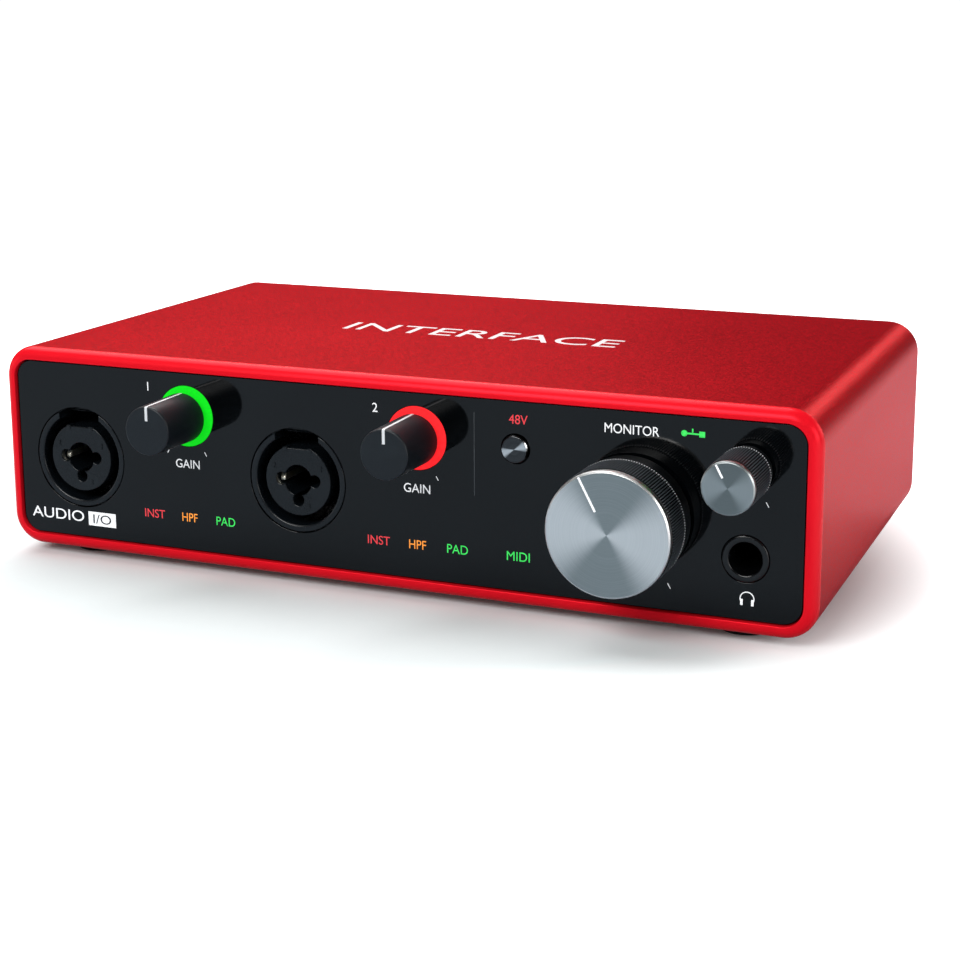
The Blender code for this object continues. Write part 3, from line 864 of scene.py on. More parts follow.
@dataclass(frozen=True)
class MouldedPlastic(Finish):
    """Moulded plastic with a fine texture."""

    colour: Colour
    rub: Colour
    roughness: float
    grain_scale: float = 5200.0
    grain_depth: float = 0.006 * MM
    gloss: float = 0.4

    def lay_out(self, sheet: Sheet) -> None:
        """Fine grain, with slow changes of shade where hands and plugs rub.

        Args:
            sheet: The material to add them to.
        """
        grain = sheet.noise(self.grain_scale, 3.0)
        rubbed = sheet.noise(160.0, 3.0).step(0.45, 0.80)
        sheet.feed(
            {
                "Base Color": sheet.mix(rubbed * 0.8 + grain * 0.2, self.colour, self.rub),
                "Roughness": self.roughness + grain.swing(0.10) - rubbed * 0.05,
                "Specular IOR Level": self.gloss,
                "Normal": sheet.bump(grain, self.grain_depth),
            }
        )


@dataclass(frozen=True)
class MarkedPlastic(MouldedPlastic):
    """Moulded plastic with a white line inlaid from a face over its edge."""

    line: Colour = (0.86, 0.87, 0.88)
    centre: Point = (0.0, 0.0)
    half_width: float = 0.30 * MM
    start: float = 2.2 * MM

    def lay_out(self, sheet: Sheet) -> None:
        """The plastic's own nodes, with the line over its colour.

        Args:
            sheet: The material to add them to.
        """
        super().lay_out(sheet)
        base = sheet.shader.inputs["Base Color"]
        plastic = Signal(sheet, base.links[0].from_socket)
        across = abs(sheet.axis("X") - self.centre[0]).step(self.half_width + 0.03 * MM, self.half_width)
        above = (sheet.axis("Z") - self.centre[1]).step(self.start - 0.03 * MM, self.start)
        sheet.connect(base, sheet.mix(across * above, plastic, self.line))


@dataclass(frozen=True)
class SpunMetal(Finish):
    """Metal turned to a face of fine circles, with a painted sheen in wedges to both sides of the middle and
    a painted highlight ring at its edge.
    """

    centre: Point
    # Colour and dark are painted lit and unlit tones of one metal, mixed by the painted sheen and by random
    # tone.
    colour: Colour
    dark: Colour
    roughness: float = 0.30
    pitch: float = 0.06 * MM
    tilt: float = 0.08
    # The next two set the direction and the spread of the painted sheen's wedges.
    sheen_angle: float = 6.0
    sheen_edge: float = 0.45
    # Radius where the painted highlight ring at the chamfer starts; 1 m leaves it off the piece.
    rim: float = 1.0

    def lay_out(self, sheet: Sheet) -> None:
        """Circles that differ a little in tone and lean, a painted sheen that follows the angle, and a
        painted highlight ring.

        Args:
            sheet: The material to add them to.
        """
        arm = sheet.arm(self.centre)
        spoke = sheet.vector("NORMALIZE", arm)
        radius = sheet.vector("LENGTH", arm)
        circle = radius.math("FLOOR", radius / self.pitch)
        level = sheet.add("ShaderNodeTexWhiteNoise", {"noise_dimensions": "1D"}, {"W": circle}, "Value")
        band = sheet.add("ShaderNodeTexNoise", {"noise_dimensions": "1D"}, {"W": radius * 4600.0}, "Fac")
        turn = math.radians(self.sheen_angle)
        across = abs(sheet.vector("DOT_PRODUCT", spoke, (math.cos(turn), 0.0, -math.sin(turn))))
        # Painted sheen: lighter colour in wedges along one direction, standing in for spun metal's
        # highlights.
        painted_sheen = across.step(self.sheen_edge, 1.0)
        local = {"vector_type": "VECTOR", "convert_from": "OBJECT", "convert_to": "WORLD"}
        outward = sheet.add("ShaderNodeVectorTransform", local, {0: spoke})
        scale = {0: outward, "Scale": level.swing(self.tilt)}
        leaning = sheet.add("ShaderNodeVectorMath", {"operation": "SCALE"}, scale)
        flat = sheet.add("ShaderNodeNewGeometry", output="Normal")
        # Colour: random tone and bands, plus the painted sheen and a painted highlight ring from rim
        # outwards.
        shade = painted_sheen * 0.88 + level * 0.09 + band.swing(0.22)
        shade = shade.math("MAXIMUM", shade, radius.step(self.rim - 0.04 * MM, self.rim))
        sheet.feed(
            {
                "Base Color": sheet.mix(shade, self.dark, self.colour),
                "Metallic": 1.0,
                "Roughness": self.roughness + band.swing(0.06),
                "Normal": sheet.vector("NORMALIZE", sheet.vector("ADD", flat, leaning)),
            }
        )


@dataclass(frozen=True)
class KnurledPlastic(Finish):
    """Black knurling, with painted shade in its grooves, crests lighter from wear and painted highlight, and
    a painted highlight at the back ends of its teeth.
    """

    centre: Point
    radius: float
    depth: float
    end: float
    # The groove colour is painted shade, the crest colour is wear and painted highlight, and the tip colour
    # is a painted highlight at the teeth's back ends.
    groove: Colour = (0.004, 0.005, 0.006)
    crest: Colour = (0.066, 0.077, 0.088)
    tip: Colour = (0.95, 0.97, 1.0)
    tip_length: float = 0.80 * MM

    def lay_out(self, sheet: Sheet) -> None:
        """Colours that follow the height of the teeth: painted shade low, wear and painted highlight high,
        and a painted highlight near the back end.

        Args:
            sheet: The material to add them to.
        """
        arm = sheet.arm(self.centre)
        height = sheet.vector("LENGTH", arm)
        height = height.step(self.radius - self.depth * 0.6, self.radius - self.depth * 0.2)
        grain = sheet.noise(2600.0, 3.0)
        # Crests lighter, partly wear and partly painted highlight; grooves darker, painted shade.
        rubbed = height * (0.55 + grain * 0.9)
        # Painted highlight: a near-white band on the crests over the last stretch before the back end.
        last = sheet.axis("Y").step(self.end - self.tip_length, self.end - self.tip_length + 0.06 * MM)
        teeth = sheet.mix(rubbed.math("MINIMUM", rubbed, 1.0), self.groove, self.crest)
        sheet.feed(
            {
                "Base Color": sheet.mix(last * height, teeth, self.tip),
                "Roughness": 0.30 + grain.swing(0.14),
                "Specular IOR Level": 0.45,
                "Normal": sheet.bump(grain, 0.006 * MM),
            }
        )


@dataclass(frozen=True)
class PlainMetal(Finish):
    """Plated or bright metal with faint drawing marks."""

    colour: Colour
    dull: Colour
    roughness: float

    def lay_out(self, sheet: Sheet) -> None:
        """Marks stretched along the piece's depth, and slow tarnish.

        Args:
            sheet: The material to add them to.
        """
        stretched = sheet.vector("MULTIPLY", sheet.place, (1.0, 0.06, 1.0))
        marks = sheet.add("ShaderNodeTexNoise", None, {"Vector": stretched, "Scale": 6000.0}, "Fac")
        tarnish = sheet.noise(220.0, 3.0)
        sheet.feed(
            {
                "Base Color": sheet.mix(tarnish.step(0.35, 0.75), self.colour, self.dull),
                "Metallic": 1.0,
                "Roughness": self.roughness + marks.swing(0.14) + tarnish * 0.05,
                "Normal": sheet.bump(marks, 0.003 * MM),
            }
        )


@dataclass(frozen=True)
class Glow(Finish):
    """Frosted plastic or a printed legend that is lit from behind."""

    colour: Colour
    edge: Colour
    body: Colour = (0.02, 0.02, 0.02)

    def lay_out(self, sheet: Sheet) -> None:
        """Light that varies a little with the frosting.

        Args:
            sheet: The material to add them to.
        """
        frost = sheet.noise(1400.0, 2.0)
        sheet.feed(
            {
                "Base Color": sheet.mix(frost, self.body, self.edge),
                "Roughness": 0.45 + frost * 0.15,
                "Specular IOR Level": 0.12,
                "Emission Color": sheet.mix(frost.step(0.25, 0.75), self.edge, self.colour),
                "Emission Strength": 1.0,
                "Normal": sheet.bump(frost, 0.003 * MM),
            }
        )


@dataclass(frozen=True)
class Ink(Finish):
    """Opaque screen-printed ink, which can be given a painted glow."""

    colour: Colour
    thin: Colour
    roughness: float = 0.45
    # Painted glow: emission that brightens the ink, though no lamp lights it.
    glow: float = 0.0

    def lay_out(self, sheet: Sheet) -> None:
        """Ink that thins out a little in specks, and glows by its glow setting: painted light, as no lamp is
        behind it.

        Args:
            sheet: The material to add them to.
        """
        specks = sheet.noise(2400.0, 3.0)
        ink = sheet.mix(specks.step(0.30, 0.50), self.thin, self.colour)
        sheet.feed(
            {
                "Base Color": ink,
                "Roughness": self.roughness + specks * 0.1,
                # Painted glow: the ink emits its own colour by the glow setting.
                "Emission Color": ink,
                "Emission Strength": self.glow,
                "Normal": sheet.bump(specks, 0.002 * MM),
            }
        )


@dataclass(frozen=True)
class CircuitBoard(Finish):
    """Green solder mask over copper tracks."""

    mask: Colour = (0.012, 0.105, 0.040)
    track: Colour = (0.035, 0.230, 0.085)
    cells: float = 420.0

    def lay_out(self, sheet: Sheet) -> None:
        """Tracks as the borders of stretched cells, with pads of bare metal between them.

        Args:
            sheet: The material to add them to.
        """
        cells = {"Vector": sheet.place, "Scale": self.cells}
        tracks = sheet.add("ShaderNodeTexVoronoi", {"feature": "DISTANCE_TO_EDGE"}, cells, "Distance")
        weave = sheet.noise(3200.0, 2.0)
        copper = 1.0 - tracks.step(0.04, 0.09)
        sheet.feed(
            {
                "Base Color": sheet.mix(copper * 0.8 + weave * 0.2, self.mask, self.track),
                "Roughness": 0.34 + weave * 0.2,
                "Normal": sheet.bump(copper + weave * 0.2, 0.03 * MM),
            }
        )


@dataclass(frozen=True)
class ClearPlastic(Finish):
    """Clear acrylic, a little frosted by its mould."""

    colour: Colour = (0.82, 0.85, 0.88)
    cloudy: Colour = (0.66, 0.70, 0.74)

    def lay_out(self, sheet: Sheet) -> None:
        """Faint clouds in colour and roughness.

        Args:
            sheet: The material to add them to.
        """
        cloud = sheet.noise(700.0, 2.0)
        sheet.feed(
            {
                "Base Color": sheet.mix(cloud, self.colour, self.cloudy),
                "Roughness": 0.12 + cloud * 0.15,
                "Transmission Weight": 0.7,
                "Normal": sheet.bump(cloud, 0.004 * MM),
            }
        )


@dataclass(frozen=True)
class StudioFloor(Finish):
    """Matt white paper with a painted glow that grows away from the object out to plain white, and throws
    less light back in front of the object.
    """

    colour: Colour = (0.90, 0.95, 0.95)
    fibre: Colour = (0.88, 0.93, 0.935)
    # The next four place the painted glow: faint within near of this shifted, stretched centre, full beyond
    # far.
    centre: tuple[float, float, float] = (-0.025, -0.008, 0.0)
    stretch: tuple[float, float, float] = (0.7, 1.0, 0.0)
    near: float = 0.074
    far: float = 0.110
    bounce_front: Colour = (0.36, 0.42, 0.48)
    bounce_back: Colour = (0.85, 0.85, 0.86)

    def lay_out(self, sheet: Sheet) -> None:
        """A trace of fibre, a painted glow that grows with distance, and a dimmer side for bounced light.

        Args:
            sheet: The material to add them to.
        """
        fibres = sheet.noise(300.0, 3.0)
        arm = sheet.vector("SUBTRACT", sheet.place, self.centre)
        distance = sheet.vector("LENGTH", sheet.vector("MULTIPLY", arm, self.stretch))
        # Painted light: emission that stays faint near the object, so its shadow stays dark, and rises to
        # full white further out.
        glow = 0.02 + distance.step(self.near, self.far) * 0.98
        sheet.feed(
            {
                "Base Color": sheet.mix(fibres, self.colour, self.fibre),
                "Roughness": 0.9,
                "Specular IOR Level": 0.0,
                "Emission Color": sheet.mix(glow, (0.0, 0.0, 0.0), (1.0, 1.0, 1.0)),
                "Emission Strength": 1.0,
            }
        )
        behind = sheet.axis("Y").step(-0.06, 0.04)
        behind = behind.math("MAXIMUM", behind, sheet.axis("X").step(0.12, 0.17))
        bounce = sheet.mix(behind, self.bounce_front, self.bounce_back)
        paper = sheet.add("ShaderNodeBsdfDiffuse", None, {"Color": bounce})
        seen = sheet.add("ShaderNodeLightPath", output="Is Camera Ray")
        lit = Signal(sheet, sheet.shader.outputs[0])
        surface = sheet.add("ShaderNodeMixShader", None, {0: seen, 1: paper, 2: lit})
        sheet.tree.links.new(surface.socket, sheet.tree.nodes["Material Output"].inputs["Surface"])


class Tone(Enum):
    """The finishes of printed and lit legends."""

    # White and silver ink get a painted glow, though no lamp lights them from behind.
    WHITE = Ink("ink_white", (0.80, 0.81, 0.82), (0.66, 0.67, 0.68), glow=0.6)
    SILVER = Ink("ink_silver", (0.86, 0.80, 0.80), (0.72, 0.62, 0.63), roughness=0.38, glow=0.12)
    GREY = Ink("ink_grey", (0.060, 0.066, 0.072), (0.045, 0.050, 0.055))
    DARK = Ink("ink_dark", (0.012, 0.013, 0.015), (0.022, 0.023, 0.025))
    RED = Glow("legend_red", (0.78, 0.055, 0.070), (0.60, 0.040, 0.050))
    AMBER = Glow("legend_amber", (0.95, 0.36, 0.060), (0.80, 0.24, 0.030))
    GREEN = Glow("legend_green", (0.060, 0.74, 0.130), (0.030, 0.55, 0.080))


SOCKET_BLACK = MouldedPlastic("socket_black", (0.0034, 0.0052, 0.0072), (0.0070, 0.0098, 0.0124), 0.27)
REAR_BLACK = MouldedPlastic(
    "rear_black", (0.010, 0.010, 0.011), (0.018, 0.018, 0.019), 0.52, 2600.0, grain_depth=0.02 * MM
)
GLOSS_BLACK = MouldedPlastic(
    "gloss_socket", (0.0030, 0.0034, 0.0040), (0.0060, 0.0066, 0.0074), 0.16, gloss=0.5
)
RUBBER = MouldedPlastic(
    "rubber", (0.014, 0.014, 0.014), (0.030, 0.030, 0.030), 0.82, 1800.0, grain_depth=0.03 * MM, gloss=0.3
)
STEEL = PlainMetal("steel", (0.56, 0.57, 0.58), (0.38, 0.38, 0.39), 0.26)
BLACK_STEEL = PlainMetal("black_steel", (0.050, 0.050, 0.053), (0.090, 0.088, 0.086), 0.34)
CONTACT = PlainMetal("contact", (0.97, 0.94, 0.80), (0.90, 0.82, 0.60), 0.34)
BOARD = CircuitBoard("board")
CLEAR = ClearPlastic("clear_guide")
HALO_GREEN = Glow("halo_green", (0.002, 0.56, 0.006), (0.006, 0.66, 0.016), (0.00, 0.04, 0.00))
HALO_RED = Glow("halo_red", (0.88, 0.010, 0.014), (0.95, 0.025, 0.030), (0.04, 0.00, 0.00))


# --------------------------------------------------------------------------------------------------
# Sub-assemblies
# --------------------------------------------------------------------------------------------------


@dataclass
class Assembly(ABC):
    """A sub-assembly: build shapes its meshes, and dress gives them their finishes."""

    made: dict[str, bpy.types.Object] = field(default_factory=dict, init=False)

    @abstractmethod
    def build(self) -> None:
        """Shapes the meshes."""

    @abstractmethod
    def dress(self) -> None:
        """Gives the meshes their finishes."""

    def keep(self, blank: Blank, *nodes: str, body: str = "root", angle: float = 35.0) -> None:
        """Finishes a blank as a piece of this sub-assembly.

        Args:
            blank: The shaped blank.
            nodes: The CAD nodes that it stands for.
            body: The CAD body that it moves with.
            angle: Edges sharper than this many degrees stay sharp.
        """
        piece = blank.finish(angle)
        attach(piece, body)
        if nodes:
            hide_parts(*nodes)
        self.made[piece.name] = piece

    def coat(self, finish: Finish, slot: str, *names: str) -> None:
        """Gives pieces, or CAD nodes that stay, a finish.

        Args:
            finish: The finish.
            slot: Not used.
            names: The pieces' names.
        """
        for name in names:
            piece = self.made.get(name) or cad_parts[name]
            if not piece.material_slots:
                piece.data.materials.append(None)
            for holder in piece.material_slots:
                holder.material = finish.material()
            log.info("%-22s %-18s %6d faces", name, finish.name, len(piece.data.polygons))


@dataclass(frozen=True)
class Legend:
    """Words printed on a panel."""

    words: str
    at: Point
    width: float
    height: float
    tone: Tone


class PrintRun:
    """Everything that is printed in one tone, joined as one thin piece."""

    def __init__(self, prefix: str, surface: float, facing: Facing) -> None:
        """Starts a run.

        Args:
            prefix: What the pieces' names start with.
            surface: The y, or for the top the z, of what is printed on.
            facing: The way that the print faces.
        """
        self.prefix = prefix
        self.facing = facing
        outward = {Facing.FRONT: -1, Facing.REAR: 1, Facing.TOP: 1}[facing]
        self.layer = surface + outward * PRINT_DEPTH * 0.2
        self.faces = (self.layer - PRINT_DEPTH / 2, self.layer + PRINT_DEPTH / 2)
        self.sheets: dict[Tone, list[Blank]] = {}

    def write(self, legend: Legend) -> None:
        """Adds words.

        Args:
            legend: What they say, and where.
        """
        x, across = legend.at
        centre = (x, across, self.layer) if self.facing is Facing.TOP else (x, self.layer, across)
        size = (legend.width, legend.height)
        words = Blank.lettering("words", legend.words, Vector(centre), size, self.facing, PRINT_DEPTH)
        self.add(legend.tone, words)

    def bar(self, tone: Tone, at: Point, size: tuple[float, float]) -> Blank:
        """Adds a rectangle to a front or rear print.

        Args:
            tone: Its tone.
            at: Its centre, as (x, z).
            size: Its width and height.

        Returns:
            The rectangle, which may still be turned.
        """
        return self.add(tone, Blank.slab("bar", at, size, *self.faces).chamfer(PRINT_EDGE, 1))

    def hoop(self, tone: Tone, at: Point, inner: float, outer: float) -> Blank:
        """Adds a ring to a front or rear print.

        Args:
            tone: Its tone.
            at: Its centre, as (x, z).
            inner: Its inner radius, or 0 for a disc.
            outer: Its outer radius.

        Returns:
            The ring.
        """
        if inner:
            return self.add(tone, Blank.ring("hoop", at, inner, outer, *self.faces, PRINT_EDGE))
        return self.add(tone, Blank.rod("disc", at, outer, *self.faces, 40).chamfer(PRINT_EDGE, 1))

    def ticks(self, tone: Tone, at: Point, inner: float, outer: float, angles: Sequence[float]) -> None:
        """Adds the end marks of a knob's travel.

        Args:
            tone: Their tone.
            at: The knob's axis.
            inner: Where the marks start.
            outer: Where they end.
            angles: Their angles from straight up, clockwise, in degrees.
        """
        for angle in angles:
            mark = self.bar(tone, (at[0], at[1] + (inner + outer) / 2), (0.16 * MM, outer - inner))
            mark.turn(angle, at)

    def add(self, tone: Tone, blank: Blank) -> Blank:
        """Adds a thin solid to the run.

        Args:
            tone: Its tone.
            blank: The solid.

        Returns:
            The same solid.
        """
        self.sheets.setdefault(tone, []).append(blank)
        return blank

    def press(self, owner: Assembly, slot: str) -> None:
        """Joins what is in each tone, and hands the pieces to their sub-assembly.

        Args:
            owner: The sub-assembly.
            slot: The slot of what is printed on.
        """
        for tone, blanks in self.sheets.items():
            select_only(*(blank.piece for blank in blanks))
            if len(blanks) > 1:
                bpy.ops.object.join()
            name = f"{self.prefix}_{tone.name.lower()}"
            whole = Blank(name)
            owner.keep(whole, angle=20.0)
            owner.coat(tone.value, slot, name)


@dataclass
class Sleeve(Assembly):
    """The extruded shell, with a polished round rim in front and screw posts inside."""

    wall: float = 2.75 * MM
    corner: float = 7.0 * MM
    rim: float = 2.45 * MM
    inner_rim: float = 0.18 * MM
    rear_rim: float = 0.35 * MM
    post_radius: float = 3.9 * MM
    post_bore: float = 1.4 * MM
    post_reach: float = 86.2 * MM
    post_rise: float = 3.4 * MM
    post_length: float = 18.0 * MM
    rear_gap: float = 0.3 * MM
    letter_relief: float = 0.02 * MM
    letters: Point = (67.0 * MM, 8.8 * MM)
    letters_at: Point = (2.0 * MM, 7.2 * MM)

    def build(self) -> None:
        """Bevels a box's long edges, opens its ends, gives it a wall and rounds its rims."""
        space = Space.of("sleeve")
        low, high = space.low, space.high.copy()
        high.z -= self.letter_relief
        shell = Blank.box("sleeve_shell", low, high)
        shell.soften(along_y, self.corner, 16)
        shell.pick(Element.FACE, lambda points: max(p.y for p in points) - min(p.y for p in points) < MM)
        bpy.ops.mesh.delete(type=Element.FACE.value)
        bpy.ops.object.mode_set(mode="OBJECT")
        shell.modify("SOLIDIFY", thickness=self.wall, offset=-1.0, use_even_offset=True, use_rim=True)
        shell.weld()

        def depth_in(point: Vector) -> float:
            """How far a point is inside the shell's outline.

            Args:
                point: The point.

            Returns:
                The distance, along the shell's wall.
            """
            centre_z = (low.z + high.z) / 2
            dx = abs(point.x) - (high.x - self.corner)
            dz = abs(point.z - centre_z) - ((high.z - low.z) / 2 - self.corner)
            return self.corner - math.hypot(max(dx, 0), max(dz, 0)) - min(max(dx, dz), 0)

        def loop(y: float, outer: bool) -> Test:
            """A test for the outer or the inner edge of one end."""
            level, limit = at_depth(y), self.wall / 2
            return lambda ends: level(ends) and all((depth_in(p) < limit) == outer for p in ends)

        shell.soften(loop(low.y, True), self.rim, 12)
        shell.soften(loop(low.y, False), self.inner_rim, 3)
        shell.soften(loop(high.y, True), self.rear_rim, 3)
        shell.soften(loop(high.y, False), self.rear_rim / 2, 2)

        back = Space.of("rear_panel").low.y - self.rear_gap
        floor, ceiling = space.low.z + self.wall, space.high.z - self.wall
        heights = (floor + self.post_rise, ceiling - self.post_rise)
        places = [(side * self.post_reach, z) for side in (-1, 1) for z in heights]
        foot = back - self.post_length
        shell.join(*(Blank.rod("post", at, self.post_radius, foot, back, 48) for at in places))
        shell.cut(*(Blank.rod("bore", at, self.post_bore, foot + MM, back + MM, 24) for at in places))
        self.keep(shell, "sleeve", angle=30.0)

        run = PrintRun("top_print", space.high.z - PRINT_DEPTH * 0.7, Facing.TOP)
        width, height = self.letters
        run.write(Legend("INTERFACE", self.letters_at, width, height, Tone.SILVER))
        run.press(self, "red_anodised")

    def dress(self) -> None:
        """Anodised body with a polished rim."""
        red = AnodisedMetal("red_anodised", rim_end=Space.of("sleeve").low.y + self.rim)
        self.coat(red, "red_anodised", "sleeve_shell")


@dataclass
class Feet(Assembly):
    """Four rubber feet."""

    radius: float = 6.0 * MM
    taper: float = 0.45 * MM
    height: float = 2.0 * MM
    dish: float = 0.3 * MM
    sole_rim: float = 1.3 * MM
    edge: float = 0.35 * MM

    def build(self) -> None:
        """Turns one foot with a dished sole, and copies it."""
        sole, rim = self.radius - self.taper, self.sole_rim
        wall = rounded([(sole - rim, 0), (sole, 0), (self.radius, self.height)], self.edge)
        outline = [(0, self.dish), (sole - 2 * rim, self.dish), *wall, (0, self.height)]
        pattern = Blank.turned("foot_pattern", (0, 0), outline, 64)
        pattern.piece.matrix_world = Matrix.Rotation(math.pi / 2, 4, "X")
        pattern.settle()
        for number in range(1, 5):
            centre = Space.of(f"foot_{number}").centre
            foot = pattern.twin(f"rubber_foot_{number}", Vector((centre.x, centre.y, 0)))
            self.keep(foot, f"foot_{number}")
        bpy.data.objects.remove(pattern.piece, do_unlink=True)

    def dress(self) -> None:
        """Moulded rubber."""
        self.coat(RUBBER, "rubber", *self.made)


@dataclass
class FrontPanel(Assembly):
    """The gloss fascia, with its holes, its bosses, and what is printed on it or lit behind it."""

    thickness: float = 2.2 * MM
    corner: float = 3.95 * MM
    edge: float = 0.12 * MM
    gap: float = 0.2 * MM
    halo_gap: float = 0.05 * MM
    jack_gap: float = 0.1 * MM
    shaft_hole: float = 3.55 * MM
    button_hole: float = 3.1 * MM
    travel: tuple[float, float] = (-150.0, 150.0)
    boss_radius: float = 2.4 * MM
    boss_bore: float = 1.3 * MM
    cap_height: float = 1.9 * MM

    def build(self) -> None:
        """Shapes the plate, cuts all its holes, adds the bosses and prints the legends."""
        space = Space.of("front_panel")
        low, high = space.low, space.high.copy()
        boss_end = high.y
        high.y = low.y + self.thickness
        panel = Blank.box("fascia", low, high)
        panel.soften(along_y, self.corner, 12)
        holes = []
        for node, radius in self.holes().items():
            at = Space.of(node).at
            holes.append(Blank.rod("hole", at, radius, low.y - MM, high.y + MM, 96))
        panel.cut(*holes)
        panel.chamfer(self.edge, 3)
        screws = [Space.of(f"board_screw_{number}").at for number in (1, 2)]
        panel.join(*(Blank.rod("boss", at, self.boss_radius, high.y - MM, boss_end, 32) for at in screws))
        panel.cut(*(Blank.rod("bore", at, self.boss_bore, high.y, boss_end + MM, 24) for at in screws))
        self.keep(panel, "front_panel")
        self.print_legends(low)

    def holes(self) -> dict[str, float]:
        """The radius of the hole for each control, by the node at its middle.

        Returns:
            The radii.
        """
        combo, halo = ComboInput.flange + self.gap, GainControl.halo_outer + self.halo_gap
        holes = {f"combo_core_{n}": combo for n in (1, 2)} | {f"gain_halo_{n}": halo for n in (1, 2)}
        holes |= {f"{name}_shaft": self.shaft_hole for name in ("monitor", "phones")}
        jack = BoredSocket.nose + self.jack_gap
        return holes | {"phantom_button": self.button_hole, "headphone_jack": jack}

    def print_legends(self, low: Vector) -> None:
        """Prints every legend, at its place beside its control.

        Args:
            low: The lowest corner of the fascia.
        """
        run = PrintRun("panel_print", low.y, Facing.FRONT)
        tall = self.cap_height
        for number in (1, 2):
            x, z = Space.of(f"gain_knob_{number}").at
            run.write(Legend("GAIN", (x + 0.08 * MM, z - 10.6 * MM), 5.95 * MM, tall, Tone.WHITE))
            guide = Space.of(f"legend_guide_{number}").at
            for words, shift, width, tone in (
                ("INST", -8.95, 5.1, Tone.RED),
                ("HPF", -0.05, 3.85, Tone.AMBER),
                ("PAD", 8.95, 4.65, Tone.GREEN),
            ):
                at = (guide[0] + shift * MM, guide[1] - 0.05 * MM)
                run.write(Legend(words, at, width * MM, tall, tone))
            run.ticks(Tone.WHITE, (x, z), 8.8 * MM, 9.8 * MM, self.travel)
        first, second = (Space.of(f"gain_knob_{number}").at for number in (1, 2))
        run.bar(Tone.WHITE, (first[0] - 9.3 * MM, first[1] + 5.9 * MM), (0.24 * MM, tall))
        run.write(Legend("2", (second[0] - 9.25 * MM, second[1] + 5.7 * MM), 0.0, tall, Tone.WHITE))

        x, z = Space.of("phantom_guide").at
        run.write(Legend("48V", (x, z), 4.0 * MM, tall, Tone.RED))
        x, z = Space.of("midi_guide").at
        run.write(Legend("MIDI", (x, z + 0.05 * MM), 5.0 * MM, tall, Tone.GREEN))
        monitor = Space.of("monitor_cap").at
        at = (monitor[0] - 0.18 * MM, monitor[1] + 17.15 * MM)
        run.write(Legend("MONITOR", at, 11.15 * MM, tall, Tone.WHITE))
        run.ticks(Tone.WHITE, monitor, 15.1 * MM, 16.3 * MM, self.travel)
        run.ticks(Tone.WHITE, Space.of("phones_cap").at, 7.1 * MM, 8.2 * MM, self.travel)
        run.bar(Tone.GREY, (21.65 * MM, low.z + 27.8 * MM), (0.15 * MM, 17.35 * MM))

        self.link_symbol(run, Space.of("usb_guide").at)
        jack = Space.of("headphone_jack").at
        self.headphone_symbol(run, (jack[0] + 0.5 * MM, jack[1] - 7.95 * MM))
        corner = (low.x + 2.65 * MM, low.z + 3.2 * MM)
        self.name_plate(run, corner)
        run.press(self, "gloss_black")

    def link_symbol(self, run: PrintRun, at: Point) -> None:
        """A plain symbol for a data connection: a dot, a line and a square.

        Args:
            run: The print that it belongs to.
            at: Its centre.
        """
        x, z = at
        run.hoop(Tone.GREEN, (x - 1.75 * MM, z), 0.0, 0.62 * MM)
        run.bar(Tone.GREEN, (x, z), (2.6 * MM, 0.32 * MM))
        run.bar(Tone.GREEN, (x + 1.8 * MM, z), (1.15 * MM, 1.15 * MM))
        run.bar(Tone.GREEN, (x - 0.1 * MM, z + 0.62 * MM), (0.28 * MM, 0.75 * MM))

    def headphone_symbol(self, run: PrintRun, at: Point) -> None:
        """A pair of headphones: a band and two ear cups.

        Args:
            run: The print that it belongs to.
            at: The centre of the band's circle.
        """
        x, z = at
        band = run.hoop(Tone.WHITE, at, 1.26 * MM, 1.47 * MM)
        low = (x - 2 * MM, run.layer - MM, z - 2 * MM)
        high = (x + 2 * MM, run.layer + MM, z - 0.45 * MM)
        band.cut(Blank.box("below", low, high))
        for side in (-1, 1):
            run.bar(Tone.WHITE, (x + side * 1.08 * MM, z - 0.72 * MM), (0.50 * MM, 1.25 * MM))

    def name_plate(self, run: PrintRun, corner: Point) -> None:
        """Plain words and a white box that says what the product is.

        Args:
            run: The print that it belongs to.
            corner: The words' lower left.
        """
        x, z = corner
        run.write(Legend("AUDIO", (x + 6.35 * MM, z + 1.40 * MM), 13.9 * MM, 2.45 * MM, Tone.WHITE))
        box = (x + 18.1 * MM, z + 1.15 * MM)
        run.bar(Tone.WHITE, box, (7.2 * MM, 3.2 * MM))
        over = PrintRun("name_box", run.layer - 0.4 * PRINT_DEPTH, Facing.FRONT)
        over.write(Legend("I/O", box, 4.7 * MM, 2.1 * MM, Tone.DARK))
        over.press(self, "gloss_black")

    def dress(self) -> None:
        """Clear gloss over black."""
        self.coat(GlossPanel("gloss_black"), "gloss_black", "fascia")


